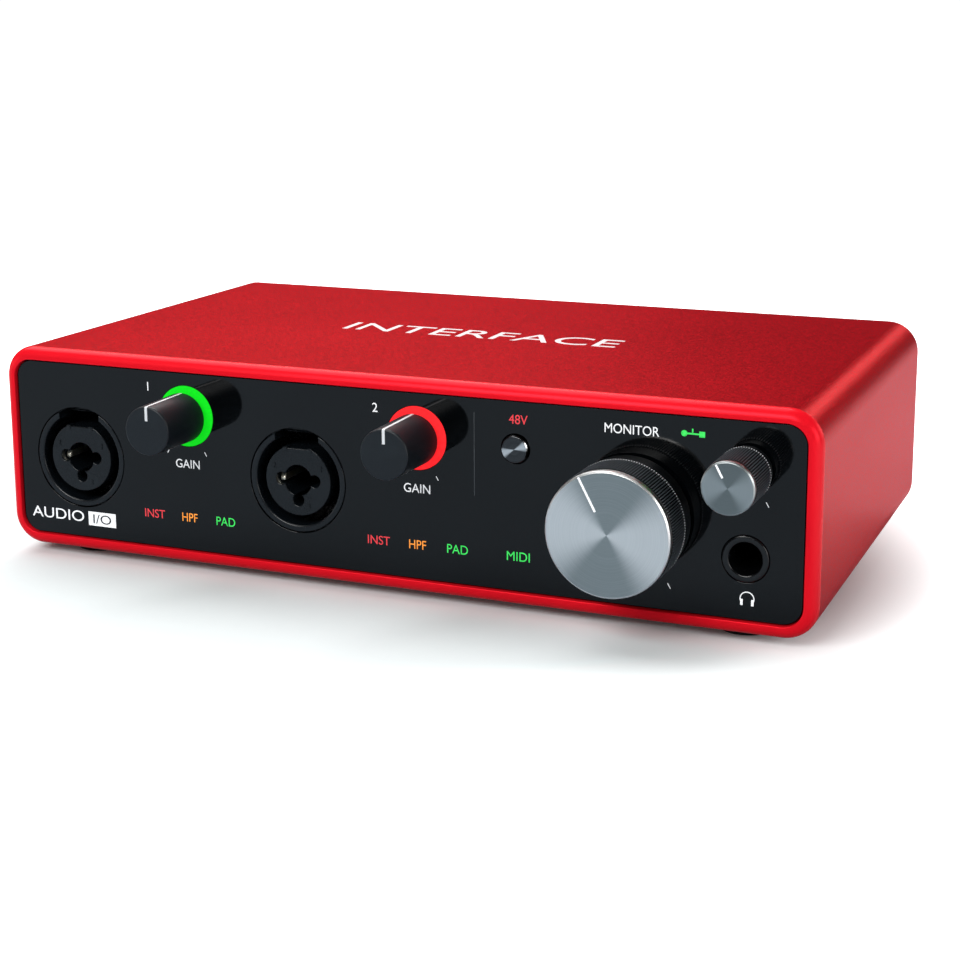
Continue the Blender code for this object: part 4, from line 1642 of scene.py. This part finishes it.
@dataclass
class ComboInput(Assembly):
    """A combo input: the housing with its flange, a latch, and the core with a contact in a bore."""

    number: int = 1
    flange: float = 11.2 * MM
    flange_depth: float = 3.5 * MM
    bore: float = 9.8 * MM
    bore_depth: float = 19.0 * MM
    throat: float = 0.5 * MM
    body_start: float = 2.5 * MM
    notch: float = 5.2 * MM
    notch_rise: float = 7.6 * MM
    notch_depth: float = 11.2 * MM
    latch_half_width: float = 4.5 * MM
    latch_depths: Point = (3.4 * MM, 10.0 * MM)
    latch_rises: Point = (9.75 * MM, 11.0 * MM)
    latch_border: float = 0.3 * MM
    latch_dish: float = 0.25 * MM
    flat_depth: float = 18.5 * MM
    jack_depth: float = 31.0 * MM
    pin_depth: float = 14.0 * MM
    mark_height: float = 1.25 * MM
    mark_relief: float = 0.30 * MM
    core: float = 7.7 * MM
    flat: float = 6.9 * MM
    jack: float = 3.3 * MM
    pin: float = 1.32 * MM
    pin_arm: float = 3.95 * MM
    leaf_lap: float = 0.38 * MM

    def build(self) -> None:
        """Shapes the housing, the latch, the core and the contact."""
        self.build_housing()
        self.build_latch()
        self.build_core()
        self.build_contact()

    @property
    def at(self) -> Point:
        """The socket's axis."""
        return Space.of(f"combo_core_{self.number}").at

    def build_housing(self) -> None:
        """Joins the flange to the box behind, bores them, and opens the notch for the latch."""
        x, z = self.at
        space = Space.of(f"combo_housing_{self.number}")
        front, seat = space.low.y, space.low.y + self.bore_depth
        low = (space.low.x, front + self.body_start, space.low.z)
        housing = Blank.box(f"combo_body_{self.number}", low, space.high).chamfer(0.5 * MM, 3)
        housing.join(Blank.rod("flange", self.at, self.flange, front, front + self.flange_depth))
        housing.cut(Blank.rod("bore", self.at, self.bore, front - MM, seat))
        housing.cut(Blank.rod("seat", self.at, self.core + 0.3 * MM, seat - MM, space.high.y + MM))

        def ring_edge(radius: float) -> Test:
            """A test for a circle of the flange's front face.

            Args:
                radius: The circle's radius.

            Returns:
                The test.
            """
            level, slack = at_depth(front), 0.05 * MM
            return lambda ends: level(ends) and all(
                abs(math.hypot(p.x - x, p.z - z) - radius) < slack for p in ends
            )

        housing.soften(ring_edge(self.bore), self.throat, 4)
        housing.soften(ring_edge(self.flange), 0.22 * MM, 3)
        low = (x - self.notch, front - MM, z + self.notch_rise)
        high = (x + self.notch, front + self.notch_depth, z + self.flange + 0.1 * MM)
        housing.cut(Blank.box("notch", low, high))
        self.keep(housing, f"combo_housing_{self.number}")

    def build_latch(self) -> None:
        """The release tab, set back in the notch."""
        x, z = self.at
        front = Space.of("front_panel").low.y
        low, high = (
            (x + side * self.latch_half_width, front + depth, z + rise)
            for side, depth, rise in zip((-1, 1), self.latch_depths, self.latch_rises)
        )
        latch = Blank.box(f"combo_latch_{self.number}", low, high)
        latch.pick(Element.FACE, at_depth(low[1]))
        bpy.ops.mesh.inset(thickness=self.latch_border)
        bpy.ops.mesh.extrude_region_move(TRANSFORM_OT_translate={"value": (0, self.latch_dish, 0)})
        bpy.ops.object.mode_set(mode="OBJECT")
        latch.chamfer(0.14 * MM, 2)
        self.keep(latch)

    def build_core(self) -> None:
        """The round core with a flat on top, the jack bore, three pin bores and their raised numbers."""
        x, z = self.at
        space = Space.of(f"combo_core_{self.number}")
        face, tail = space.low.y, space.high.y
        core = Blank.rod(f"combo_insert_{self.number}", self.at, self.core, face, tail)
        low = (x - self.core, face - MM, z + self.flat)
        core.cut(Blank.box("flat", low, (x + self.core, face + self.flat_depth, z + self.core + MM)))
        pins = ((-self.pin_arm, 0.1 * MM), (self.pin_arm, 0.1 * MM), (0.0, -4.3 * MM))
        core.cut(Blank.rod("jack", self.at, self.jack, face - MM, face + self.jack_depth, 64))
        lobes = [(x + dx, z + dz) for dx, dz in pins]
        core.cut(*(Blank.rod("pin", at, self.pin, face - MM, face + self.pin_depth, 40) for at in lobes))
        core.chamfer(0.22 * MM, 3)
        form = ((0.0, self.mark_height), Facing.FRONT, self.mark_relief)
        marks = (("2", -5.6, 2.9), ("1", 5.6, 2.9), ("3", 2.5, -5.5))
        for words, dx, dz in marks:
            centre = Vector((x + dx * MM, face, z + dz * MM))
            core.join(Blank.lettering("mark", words, centre, *form))
        for side in (-1, 1):
            centre_x = x + side * 2.9 * MM
            low = (centre_x - 0.5 * MM, face - 0.15 * MM, z + self.flat - 0.75 * MM)
            high = (centre_x + 0.5 * MM, face + 2.0 * MM, z + self.flat + 0.25 * MM)
            core.join(Blank.box("ear", low, high).chamfer(0.12 * MM, 2))
        self.keep(core.seal(), f"combo_core_{self.number}")

    def build_contact(self) -> None:
        """The sprung leaf in the left pin bore, bowed forwards so that its face slopes up."""
        node = f"combo_contact_{self.number}"
        space = Space.of(node)
        low, high = space.low.copy(), space.high.copy()
        low.x -= self.leaf_lap
        high.x += self.leaf_lap
        leaf = Blank.box(f"spring_leaf_{self.number}", low, high)
        leaf.pick(Element.FACE, at_depth(low.y))
        for forward, shrink in ((-0.6, 0.45), (-0.12, 0.6)):
            bpy.ops.mesh.extrude_region_move(TRANSFORM_OT_translate={"value": (0, forward * MM, 0)})
            centre = Vector((space.centre.x, low.y, low.z + 0.15 * MM))
            bpy.ops.transform.resize(value=(0.9, 1, shrink), center_override=centre)
        bpy.ops.object.mode_set(mode="OBJECT")
        leaf.chamfer(0.06 * MM, 2)
        self.keep(leaf, node)

    def dress(self) -> None:
        """Moulded black, with a bright contact."""
        n = self.number
        self.coat(SOCKET_BLACK, "socket_black", f"combo_body_{n}", f"combo_latch_{n}", f"combo_insert_{n}")
        self.coat(CONTACT, "contact_metal", f"spring_leaf_{n}")


@dataclass
class GainControl(Assembly):
    """A gain knob with an inlaid pointer, and the lit ring round it."""

    number: int = 1
    glow: Glow = HALO_GREEN
    radius: float = 5.25 * MM
    base: float = 5.4 * MM
    edge: float = 0.45 * MM
    skirt_inner: float = 4.4 * MM
    skirt_depth: float = 2.0 * MM
    hollow: float = 3.2 * MM
    face_wall: float = 2.5 * MM
    halo_inner: float = 4.3 * MM
    halo_outer: float = 6.65 * MM
    halo_edge: float = 0.18 * MM

    def build(self) -> None:
        """Turns the knob and the ring."""
        node = f"gain_knob_{self.number}"
        space = Space.of(node)
        face, tail = space.low.y, space.high.y
        lip, step, floor = self.skirt_inner, tail - self.skirt_depth, face + self.face_wall
        side = rounded([(0, face), (self.radius, face), (self.base, tail), (lip, tail)], self.edge)
        outline = [*side, (lip, step), (self.hollow, step), (self.hollow, floor), (0, floor)]
        knob = Blank.turned(f"gain_dial_{self.number}", space.at, outline)
        self.keep(knob, node, body=f"gain_{self.number}")
        node = f"gain_halo_{self.number}"
        space = Space.of(node)
        ends = (space.low.y, space.high.y, self.halo_edge)
        ring = Blank.ring(f"gain_ring_{self.number}", space.at, self.halo_inner, self.halo_outer, *ends)
        self.keep(ring, node)

    def dress(self) -> None:
        """Satin knob with a white line, and a lit ring."""
        n = self.number
        at = Space.of(f"gain_knob_{n}").at
        shades = ((0.0050, 0.0082, 0.0118), (0.009, 0.013, 0.017))
        black = MarkedPlastic(f"knob_black_{n}", *shades, 0.44, gloss=0.4, centre=at)
        self.coat(black, "knob_black", f"gain_dial_{n}")
        self.coat(self.glow, self.glow.name, f"gain_ring_{n}")
        self.coat(STEEL, "plain_steel", f"gain_shaft_{n}", f"gain_pot_{n}")


@dataclass
class CappedControl(Assembly):
    """A knurled knob under a spun metal cap with an engraved pointer."""

    name: str = "monitor"
    radius: float = 12.7 * MM
    cap_edge: float = 0.34 * MM
    skirt_start: float = 4.8 * MM
    skirt_step: float = 0.35 * MM
    hollow: float = 3.2 * MM
    groove: float = 0.14 * MM
    teeth: int = 148
    tooth_depth: float = 0.34 * MM
    rest_angle: float = -28.0
    line: tuple[float, float, float] = (4.9 * MM, 12.3 * MM, 0.52 * MM)
    # The cap's painted lit and unlit tones of one metal, for its painted sheen.
    bright: Colour = (1.0, 1.0, 0.98)
    dark: Colour = (0.34, 0.38, 0.38)

    def build(self) -> None:
        """Turns the cap, engraves it, and knurls the knob."""
        cap_space, knob_space = Space.of(f"{self.name}_cap"), Space.of(f"{self.name}_knob")
        at, face, back = cap_space.at, cap_space.low.y, cap_space.high.y
        outer = (cap_space.high.x - cap_space.low.x) / 2
        chamfer = [(outer - self.cap_edge, face), (outer, face + self.cap_edge * 0.8)]
        outline = [(0, face), *rounded([(0, face), *chamfer, (outer, back), (0, back)], 0.05 * MM)[1:]]
        cap = Blank.turned(f"{self.name}_face", at, outline, 192)
        inner, end, width = self.line
        cap.cut(self.pointer("groove", at, inner, end + MM, width, face - MM, face + self.groove))
        self.keep(cap, f"{self.name}_cap", body=self.name, angle=20.0)
        fill = (inner + 0.03 * MM, end - 0.1 * MM, width - 0.05 * MM)
        mark = self.pointer(f"{self.name}_pointer", at, *fill, face + 0.04 * MM, face + 0.2 * MM)
        self.keep(mark.chamfer(0.02 * MM, 1), body=self.name)

        tail = knob_space.high.y
        sleeve_front = Space.of("sleeve").low.y
        knurl_end = sleeve_front - self.skirt_start
        grip = (at, self.radius, knob_space.low.y, knurl_end, self.teeth, self.tooth_depth)
        knob = Blank.grip(f"{self.name}_grip", *grip)
        skirt = self.radius - self.skirt_step
        knob.join(Blank.rod("skirt", at, skirt, knurl_end - MM, tail, 144).chamfer(0.15 * MM, 2))
        knob.cut(Blank.rod("hollow", at, self.hollow, back + 1.5 * MM, tail + MM, 48))
        self.keep(knob.seal(), f"{self.name}_knob", body=self.name)

    def pointer(
        self, name: str, at: Point, inner: float, end: float, width: float, front: float, back: float
    ) -> Blank:
        """A bar along the pointer's line.

        Args:
            name: The bar's name.
            at: The knob's axis.
            inner: The radius where it starts.
            end: The radius where it ends.
            width: Its width.
            front: The y of its front.
            back: The y of its back.

        Returns:
            The bar.
        """
        half = width / 2
        bar = Blank.box(name, (at[0] - half, front, at[1] + inner), (at[0] + half, back, at[1] + end))
        return bar.turn(self.rest_angle, at)

    def dress(self) -> None:
        """Spun metal with a painted sheen, white line, and black knurl with painted shade and highlights."""
        name = self.name
        cap = Space.of(f"{name}_cap")
        # Where the painted highlight ring starts: the inner edge of the cap's chamfer.
        rim = (cap.high.x - cap.low.x) / 2 - self.cap_edge
        spun = SpunMetal(f"spun_{name}", cap.at, self.bright, self.dark, rim=rim)
        self.coat(spun, "spun_aluminium", f"{name}_face")
        self.coat(Tone.WHITE.value, "spun_aluminium", f"{name}_pointer")
        knob = Space.of(f"{name}_knob")
        end = Space.of("sleeve").low.y - self.skirt_start
        knurl = KnurledPlastic(f"knurl_{name}", knob.at, self.radius, self.tooth_depth, end)
        self.coat(knurl, "knurl_black", f"{name}_grip")
        self.coat(STEEL, "plain_steel", f"{name}_shaft", f"{name}_pot")


@dataclass
class PhantomButton(Assembly):
    """The round metal button, with its plunger and switch behind."""

    radius: float = 2.85 * MM
    edge: float = 0.24 * MM

    def build(self) -> None:
        """Turns the cap."""
        space = Space.of("phantom_button")
        face, back = space.low.y, space.high.y
        corners = [(0, face), (self.radius - self.edge, face), (self.radius, face + self.edge)]
        outline = rounded([*corners, (self.radius, back), (0, back)], 0.06 * MM)
        cap = Blank.turned("phantom_cap", space.at, outline, 96)
        self.keep(cap, "phantom_button", body="phantom", angle=20.0)

    def dress(self) -> None:
        """Dark spun metal with a painted sheen, over moulded black."""
        at = Space.of("phantom_button").at
        # The dark metal's painted lit and unlit tones; its painted sheen is narrow, running up-right and
        # down-left.
        shades = ((0.85, 0.86, 0.86), (0.035, 0.037, 0.040))
        dark = SpunMetal("black_chrome", at, *shades, 0.20, sheen_angle=-20.0, sheen_edge=0.88)
        self.coat(dark, "black_chrome", "phantom_cap")
        self.coat(SOCKET_BLACK, "socket_black", "phantom_plunger", "phantom_switch")


@dataclass
class BoredSocket(Assembly):
    """A jack socket: a body with a turned nose that comes through a panel, and a bore."""

    node: str = "headphone_jack"
    facing: Facing = Facing.FRONT
    nose: float = 4.7 * MM
    lip: float = 0.45 * MM
    bore: float = 3.3 * MM
    bore_depth: float = 31.0 * MM
    finish: Finish = SOCKET_BLACK

    def build(self) -> None:
        """Joins the nose to the body and bores them."""
        space = Space.of(self.node)
        low, high = space.low.copy(), space.high.copy()
        if self.facing is Facing.FRONT:
            tip, step, panel = low.y, 1, low.y + 2.7 * MM
            low.y = panel
        else:
            tip, step, panel = high.y, -1, Space.of("rear_panel").low.y - 0.3 * MM
            high.y = panel
        body = Blank.box(self.node + "_body", low, high).chamfer(0.4 * MM, 2)
        floor = tip + step * self.bore_depth
        corners = [(0, tip + step * 0.9 * MM), (self.bore, tip + step * 0.9 * MM), (self.bore, tip)]
        corners += [(self.nose, tip), (self.nose, panel + step * MM), (0, panel + step * MM)]
        nose = Blank.turned("nose", space.at, rounded(corners, self.lip, steps=6), 96)
        body.join(nose)
        ends = sorted((floor, tip + step * 0.45 * MM))
        body.cut(Blank.rod("bore", space.at, self.bore, ends[0], ends[1], 96))
        self.keep(body, self.node)

    def dress(self) -> None:
        """Moulded black."""
        self.coat(self.finish, "socket_black", self.node + "_body")


@dataclass
class FivePinSocket(Assembly):
    """A five-pin round socket: a boss with five bores, inside a moat for the plug's shell."""

    node: str = "midi_in_socket"
    nose: float = 8.4 * MM
    moat: Point = (6.1 * MM, 7.75 * MM)
    moat_depth: float = 9.0 * MM
    pin: float = 0.8 * MM
    pin_circle: float = 3.6 * MM
    key_half_width: float = 1.1 * MM
    key_depth: float = 3.0 * MM
    key_reach: Point = (-0.5 * MM, 0.9 * MM)

    def build(self) -> None:
        """Joins the nose to the body, and cuts the moat, the bores and the key."""
        space = Space.of(self.node)
        x, z = space.at
        tip, panel = space.high.y, Space.of("rear_panel").low.y - 0.3 * MM
        high = Vector((space.high.x, panel, space.high.z))
        body = Blank.box(self.node + "_body", space.low, high).chamfer(0.4 * MM, 2)
        body.join(Blank.rod("nose", space.at, self.nose, panel - MM, tip).chamfer(0.2 * MM, 3))
        floor = tip - self.moat_depth
        body.cut(Blank.ring("moat", space.at, *self.moat, floor, tip + MM, 0.1 * MM))
        bores = []
        for step in range(5):
            angle = math.pi / 4 * step
            at = (x + self.pin_circle * math.cos(angle), z + self.pin_circle * math.sin(angle))
            bores.append(Blank.rod("pin", at, self.pin, floor, tip + MM, 32))
        start, end = (z - self.moat[0] + reach for reach in self.key_reach)
        low = (x - self.key_half_width, tip - self.key_depth, start)
        bores.append(Blank.box("key", low, (x + self.key_half_width, tip + MM, end)))
        body.cut(*bores)
        self.keep(body, self.node)

    def dress(self) -> None:
        """Moulded black."""
        self.coat(SOCKET_BLACK, "socket_black", self.node + "_body")


@dataclass
class UsbPort(Assembly):
    """The data port: a drawn steel shell, and a tongue with its row of contacts."""

    wall: float = 0.35 * MM
    contacts: int = 12
    pitch: float = 0.42 * MM
    contact_half_width: float = 0.1 * MM
    contact_ends: Point = (-4.0 * MM, -0.5 * MM)
    contact_faces: Point = (-0.03 * MM, 0.02 * MM)

    def build(self) -> None:
        """Shapes the shell, the tongue and the contacts."""
        space = Space.of("usb_shell")
        low, high = space.low, space.high
        shell = Blank.box("usb_can", low, high)
        shell.soften(along_y, (high.z - low.z) * 0.48, 10)
        wall = Vector((self.wall, 0, self.wall))
        start = Vector((0, 0.6 * MM, 0))
        hollow = Blank.box("hollow", low + wall + start, high - wall + Vector((0, MM, 0)))
        radius = (high.z - low.z - 2 * self.wall) * 0.48
        hollow.soften(along_y, radius, 10)
        shell.cut(hollow)
        shell.chamfer(0.07 * MM, 2)
        self.keep(shell, "usb_shell")
        space = Space.of("usb_tongue")
        tongue = Blank.box("usb_blade", space.low, space.high).chamfer(0.14 * MM, 3)
        self.keep(tongue, "usb_tongue")
        start_x = space.centre.x - self.pitch * (self.contacts - 1) / 2
        corners = [
            (start_x + side * self.contact_half_width, space.high.y + end, space.high.z + face)
            for side, end, face in zip((-1, 1), self.contact_ends, self.contact_faces)
        ]
        strip = Blank.box("usb_contacts", *corners).chamfer(0.015 * MM, 1)
        copies = [strip.twin("strip", Vector((self.pitch * i, 0, 0))) for i in range(1, self.contacts)]
        select_only(strip.piece, *(copy.piece for copy in copies))
        bpy.ops.object.join()
        self.keep(strip)

    def dress(self) -> None:
        """Plated steel, moulded black and bright contacts."""
        self.coat(STEEL, "plain_steel", "usb_can")
        self.coat(SOCKET_BLACK, "socket_black", "usb_blade")
        self.coat(CONTACT, "contact_metal", "usb_contacts")


@dataclass
class RearPanel(Assembly):
    """The rear plate with its openings, its four screws and what is printed on it."""

    corner: float = 3.95 * MM
    screw_head: float = 2.4 * MM
    shank: float = 1.2 * MM
    hexagon: float = 1.15 * MM
    hexagon_depth: float = 0.9 * MM
    jack_hole: float = 5.8 * MM
    midi_hole: float = 8.6 * MM
    screw_hole: float = 1.5 * MM
    cap_height: float = 1.9 * MM

    def build(self) -> None:
        """Shapes the plate, turns a screw and copies it, and prints the legends."""
        space = Space.of("rear_panel")
        low, high = space.low, space.high
        plate = Blank.box("rear_plate", low, high)
        plate.soften(along_y, self.corner, 12)
        plate.cut(*self.openings(low.y - MM, high.y + MM))
        plate.chamfer(0.12 * MM, 2)
        self.keep(plate, "rear_panel")
        self.build_screws()
        self.print_legends(high.y)

    def openings(self, front: float, back: float) -> list[Blank]:
        """Cutters for the sockets, the slot and the screws.

        Args:
            front: The y where they start.
            back: The y where they end.

        Returns:
            The cutters.
        """
        cutters = []
        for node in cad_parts:
            if node.startswith("line_"):
                cutters.append(Blank.rod("hole", Space.of(node).at, self.jack_hole, front, back))
            elif node.startswith("midi_") and node.endswith("socket"):
                cutters.append(Blank.rod("hole", Space.of(node).at, self.midi_hole, front, back))
            elif node.startswith("rear_screw"):
                cutters.append(Blank.rod("hole", Space.of(node).at, self.screw_hole, front, back, 32))
        for node, size, corner in (
            ("usb_shell", (9.5 * MM, 3.8 * MM), 1.85 * MM),
            ("lock_plate", (7.0 * MM, 3.2 * MM), 0.6 * MM),
        ):
            slot = Blank.slab("slot", Space.of(node).at, size, front, back)
            cutters.append(slot.soften(along_y, corner, 8))
        return cutters

    def build_screws(self) -> None:
        """Turns a screw with a domed head, cuts its hexagon, and copies it."""
        space = Space.of("rear_screw_1")
        tip, back = space.low.y, space.high.y
        seat = Space.of("rear_panel").high.y + 0.1 * MM
        shank, head = self.shank, self.screw_head
        corners = [(0, tip), (shank, tip), (shank, seat), (head, seat), (head, back), (0, back)]
        screw = Blank.turned("panel_screw_1", space.at, rounded(corners, 0.3 * MM, steps=5), 64)
        screw.cut(Blank.rod("hexagon", space.at, self.hexagon, back - self.hexagon_depth, back + MM, 6))
        for number in (2, 3, 4):
            x, z = Space.of(f"rear_screw_{number}").at
            shift = Vector((x - space.at[0], 0, z - space.at[1]))
            self.keep(screw.twin(f"panel_screw_{number}", shift), f"rear_screw_{number}")
        self.keep(screw, "rear_screw_1")

    def print_legends(self, surface: float) -> None:
        """Numbers and plain words over the sockets.

        Args:
            surface: The y of the plate's outer face.
        """
        run = PrintRun("rear_print", surface, Facing.REAR)
        tall = self.cap_height
        for kind, count, title in (("input", 2, "LINE INPUTS"), ("output", 4, "LINE OUTPUTS")):
            places = [Space.of(f"line_{kind}_jack_{number}").at for number in range(1, count + 1)]
            start = 3 if kind == "input" else 1
            for step, (x, z) in enumerate(places):
                run.write(Legend(str(start + step), (x, z + 8.2 * MM), 0.0, tall, Tone.WHITE))
            middle = (places[0][0] + places[-1][0]) / 2
            z = places[0][1] + 13.4 * MM
            run.write(Legend(title, (middle, z), 0.0, tall, Tone.WHITE))
            span = places[-1][0] - places[0][0] + 10 * MM
            run.bar(Tone.WHITE, (middle, z - 2.2 * MM), (span, 0.16 * MM))
        for node, words in (("midi_in_socket", "MIDI IN"), ("midi_out_socket", "MIDI OUT")):
            x, z = Space.of(node).at
            run.write(Legend(words, (x, z + 11.3 * MM), 0.0, tall, Tone.WHITE))
        x, z = Space.of("usb_shell").at
        run.write(Legend("USB", (x, z + 5.0 * MM), 0.0, tall, Tone.WHITE))
        run.press(self, "rear_black")

    def dress(self) -> None:
        """Powder coat, black screws and the lock's steel."""
        self.coat(REAR_BLACK, "rear_black", "rear_plate")
        self.coat(BLACK_STEEL, "screw_steel", *(f"panel_screw_{number}" for number in range(1, 5)))
        self.coat(STEEL, "plain_steel", "lock_plate")


@dataclass
class Internals(Assembly):
    """The boards and light guides, whose CAD shapes stay."""

    def build(self) -> None:
        """Nothing to shape."""

    def dress(self) -> None:
        """Solder mask, clear plastic and plated screws."""
        self.coat(BOARD, "board_green", "main_board", "front_board")
        self.coat(SOCKET_BLACK, "socket_black", "board_link")
        self.coat(STEEL, "plain_steel", "board_screw_1", "board_screw_2")
        guides = [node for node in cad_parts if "guide" in node]
        self.coat(CLEAR, "clear_guide", *sorted(guides))


# --------------------------------------------------------------------------------------------------
# Studio
# --------------------------------------------------------------------------------------------------


@dataclass(frozen=True)
class Softbox:
    """A large diffused lamp."""

    name: str
    place: tuple[float, float, float]
    aim: tuple[float, float, float]
    size: tuple[float, float]
    radiance: float

    def hang(self) -> None:
        """Adds the lamp, turned to what it aims at."""
        lamp = bpy.data.lights.new(self.name, "AREA")
        lamp.shape = "RECTANGLE"
        lamp.size, lamp.size_y = self.size
        lamp.energy = self.radiance * math.pi * self.size[0] * self.size[1]
        holder = bpy.data.objects.new(self.name, lamp)
        bpy.context.scene.collection.objects.link(holder)
        holder.location = self.place
        way = Vector(self.aim) - Vector(self.place)
        holder.rotation_euler = way.to_track_quat("-Z", "Y").to_euler()


@dataclass
class Studio:
    """A white floor that runs out to white, softboxes, and the camera."""

    ambient: float = 0.08
    backdrop: float = 1.05
    floor_size: float = 6.0
    camera_place: tuple[float, float, float] = (162.39 * MM, -374.29 * MM, 123.0 * MM)
    azimuth: float = 22.848
    elevation: float = 11.769
    roll: float = -0.292
    lens: float = 68.771
    lens_rise: float = -0.104
    softboxes: tuple[Softbox, ...] = (
        Softbox("overhead", (-0.34, 0.22, 0.72), (-0.05, 0.0, 0.0), (0.8, 0.7), 3.9),
        Softbox("back_left", (-0.50, 0.80, 0.55), (0.0, 0.0, 0.03), (0.6, 0.4), 0.5),
        Softbox("left_strip", (-0.85, -0.38, 0.10), (0.0, -0.05, 0.03), (0.45, 0.22), 1.3),
        Softbox("front_fill", (-0.25, -1.10, 0.85), (0.0, -0.05, 0.03), (0.8, 0.6), 7.8),
        Softbox("right_front", (0.85, -0.45, 0.30), (0.0, -0.05, 0.03), (0.50, 0.45), 3.4),
        Softbox("right_back", (0.85, 0.55, 0.34), (0.0, 0.0, 0.03), (0.7, 0.50), 1.5),
        Softbox("back_strip", (0.32, 1.15, 0.52), (0.06, 0.0, 0.04), (0.34, 0.26), 4.2),
    )

    def build(self) -> None:
        """Builds all of it."""
        half = self.floor_size / 2
        floor = Blank.box("floor", (-half, -half, -0.02), (half, half, 0.0)).finish()
        floor.data.materials.append(StudioFloor("floor_paper").material())
        self.light_world()
        for softbox in self.softboxes:
            softbox.hang()
        self.mount_camera()

    def light_world(self) -> None:
        """White for the camera, and a dimmer ambient light for everything else."""
        world = bpy.data.worlds.new("studio")
        bpy.context.scene.world = world
        world.use_nodes = True
        tree = world.node_tree
        path = tree.nodes.new("ShaderNodeLightPath")
        ramp = tree.nodes.new("ShaderNodeMapRange")
        ramp.inputs[3].default_value = self.ambient
        ramp.inputs[4].default_value = self.backdrop
        tree.links.new(path.outputs["Is Camera Ray"], ramp.inputs[0])
        background = tree.nodes["Background"]
        background.inputs["Color"].default_value = (1.0, 1.0, 1.0, 1.0)
        tree.links.new(ramp.outputs[0], background.inputs["Strength"])

    def mount_camera(self) -> None:
        """Adds the camera and makes it the scene's."""
        azimuth, elevation = math.radians(self.azimuth), math.radians(self.elevation)
        back = Vector((math.sin(azimuth), -math.cos(azimuth), math.tan(elevation))).normalized()
        right = Vector((math.cos(azimuth), math.sin(azimuth), 0.0))
        basis = Matrix((right, back.cross(right), back)).transposed().to_4x4()
        data = bpy.data.cameras.new("camera")
        data.lens = self.lens
        data.sensor_width = 36.0
        data.shift_y = self.lens_rise
        data.clip_start = 0.01
        camera = bpy.data.objects.new("camera", data)
        bpy.context.scene.collection.objects.link(camera)
        camera.matrix_world = (
            Matrix.Translation(self.camera_place)
            @ basis
            @ Matrix.Rotation(math.radians(self.roll), 4, "Z")
        )
        bpy.context.scene.camera = camera


def assemblies() -> list[Assembly]:
    """Every sub-assembly of the interface, in the order that they are built.

    Returns:
        The sub-assemblies.
    """
    parts: list[Assembly] = [Sleeve(), Feet(), FrontPanel()]
    parts += [ComboInput(number=number) for number in (1, 2)]
    parts += [GainControl(number=1, glow=HALO_GREEN), GainControl(number=2, glow=HALO_RED)]
    parts.append(CappedControl())
    phones = {"radius": 5.3 * MM, "cap_edge": 0.3 * MM, "skirt_start": 2.6 * MM, "teeth": 66}
    # The phones cap's painted lit and unlit tones, for its painted sheen.
    phones |= {"bright": (0.46, 0.50, 0.50), "dark": (0.21, 0.24, 0.24)}
    parts.append(CappedControl(name="phones", line=(2.1 * MM, 5.0 * MM, 0.46 * MM), **phones))
    parts += [PhantomButton(), BoredSocket(finish=GLOSS_BLACK)]
    for node in sorted(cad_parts):
        if node.startswith("line_"):
            parts.append(BoredSocket(node=node, facing=Facing.REAR, nose=5.6 * MM, bore=3.25 * MM))
    parts += [FivePinSocket(node=node) for node in ("midi_in_socket", "midi_out_socket")]
    parts += [UsbPort(), RearPanel(), Internals()]
    return parts


def main() -> None:
    """Builds and dresses every sub-assembly, and sets up the studio."""
    logging.basicConfig(level=logging.INFO, format="%(message)s")
    bpy.context.scene.view_settings.view_transform = "Standard"
    Studio().build()
    for assembly in assemblies():
        assembly.build()
        assembly.dress()
        log.info("%s: %d new pieces", type(assembly).__name__, len(assembly.made))


if __name__ == "__main__":
    main()
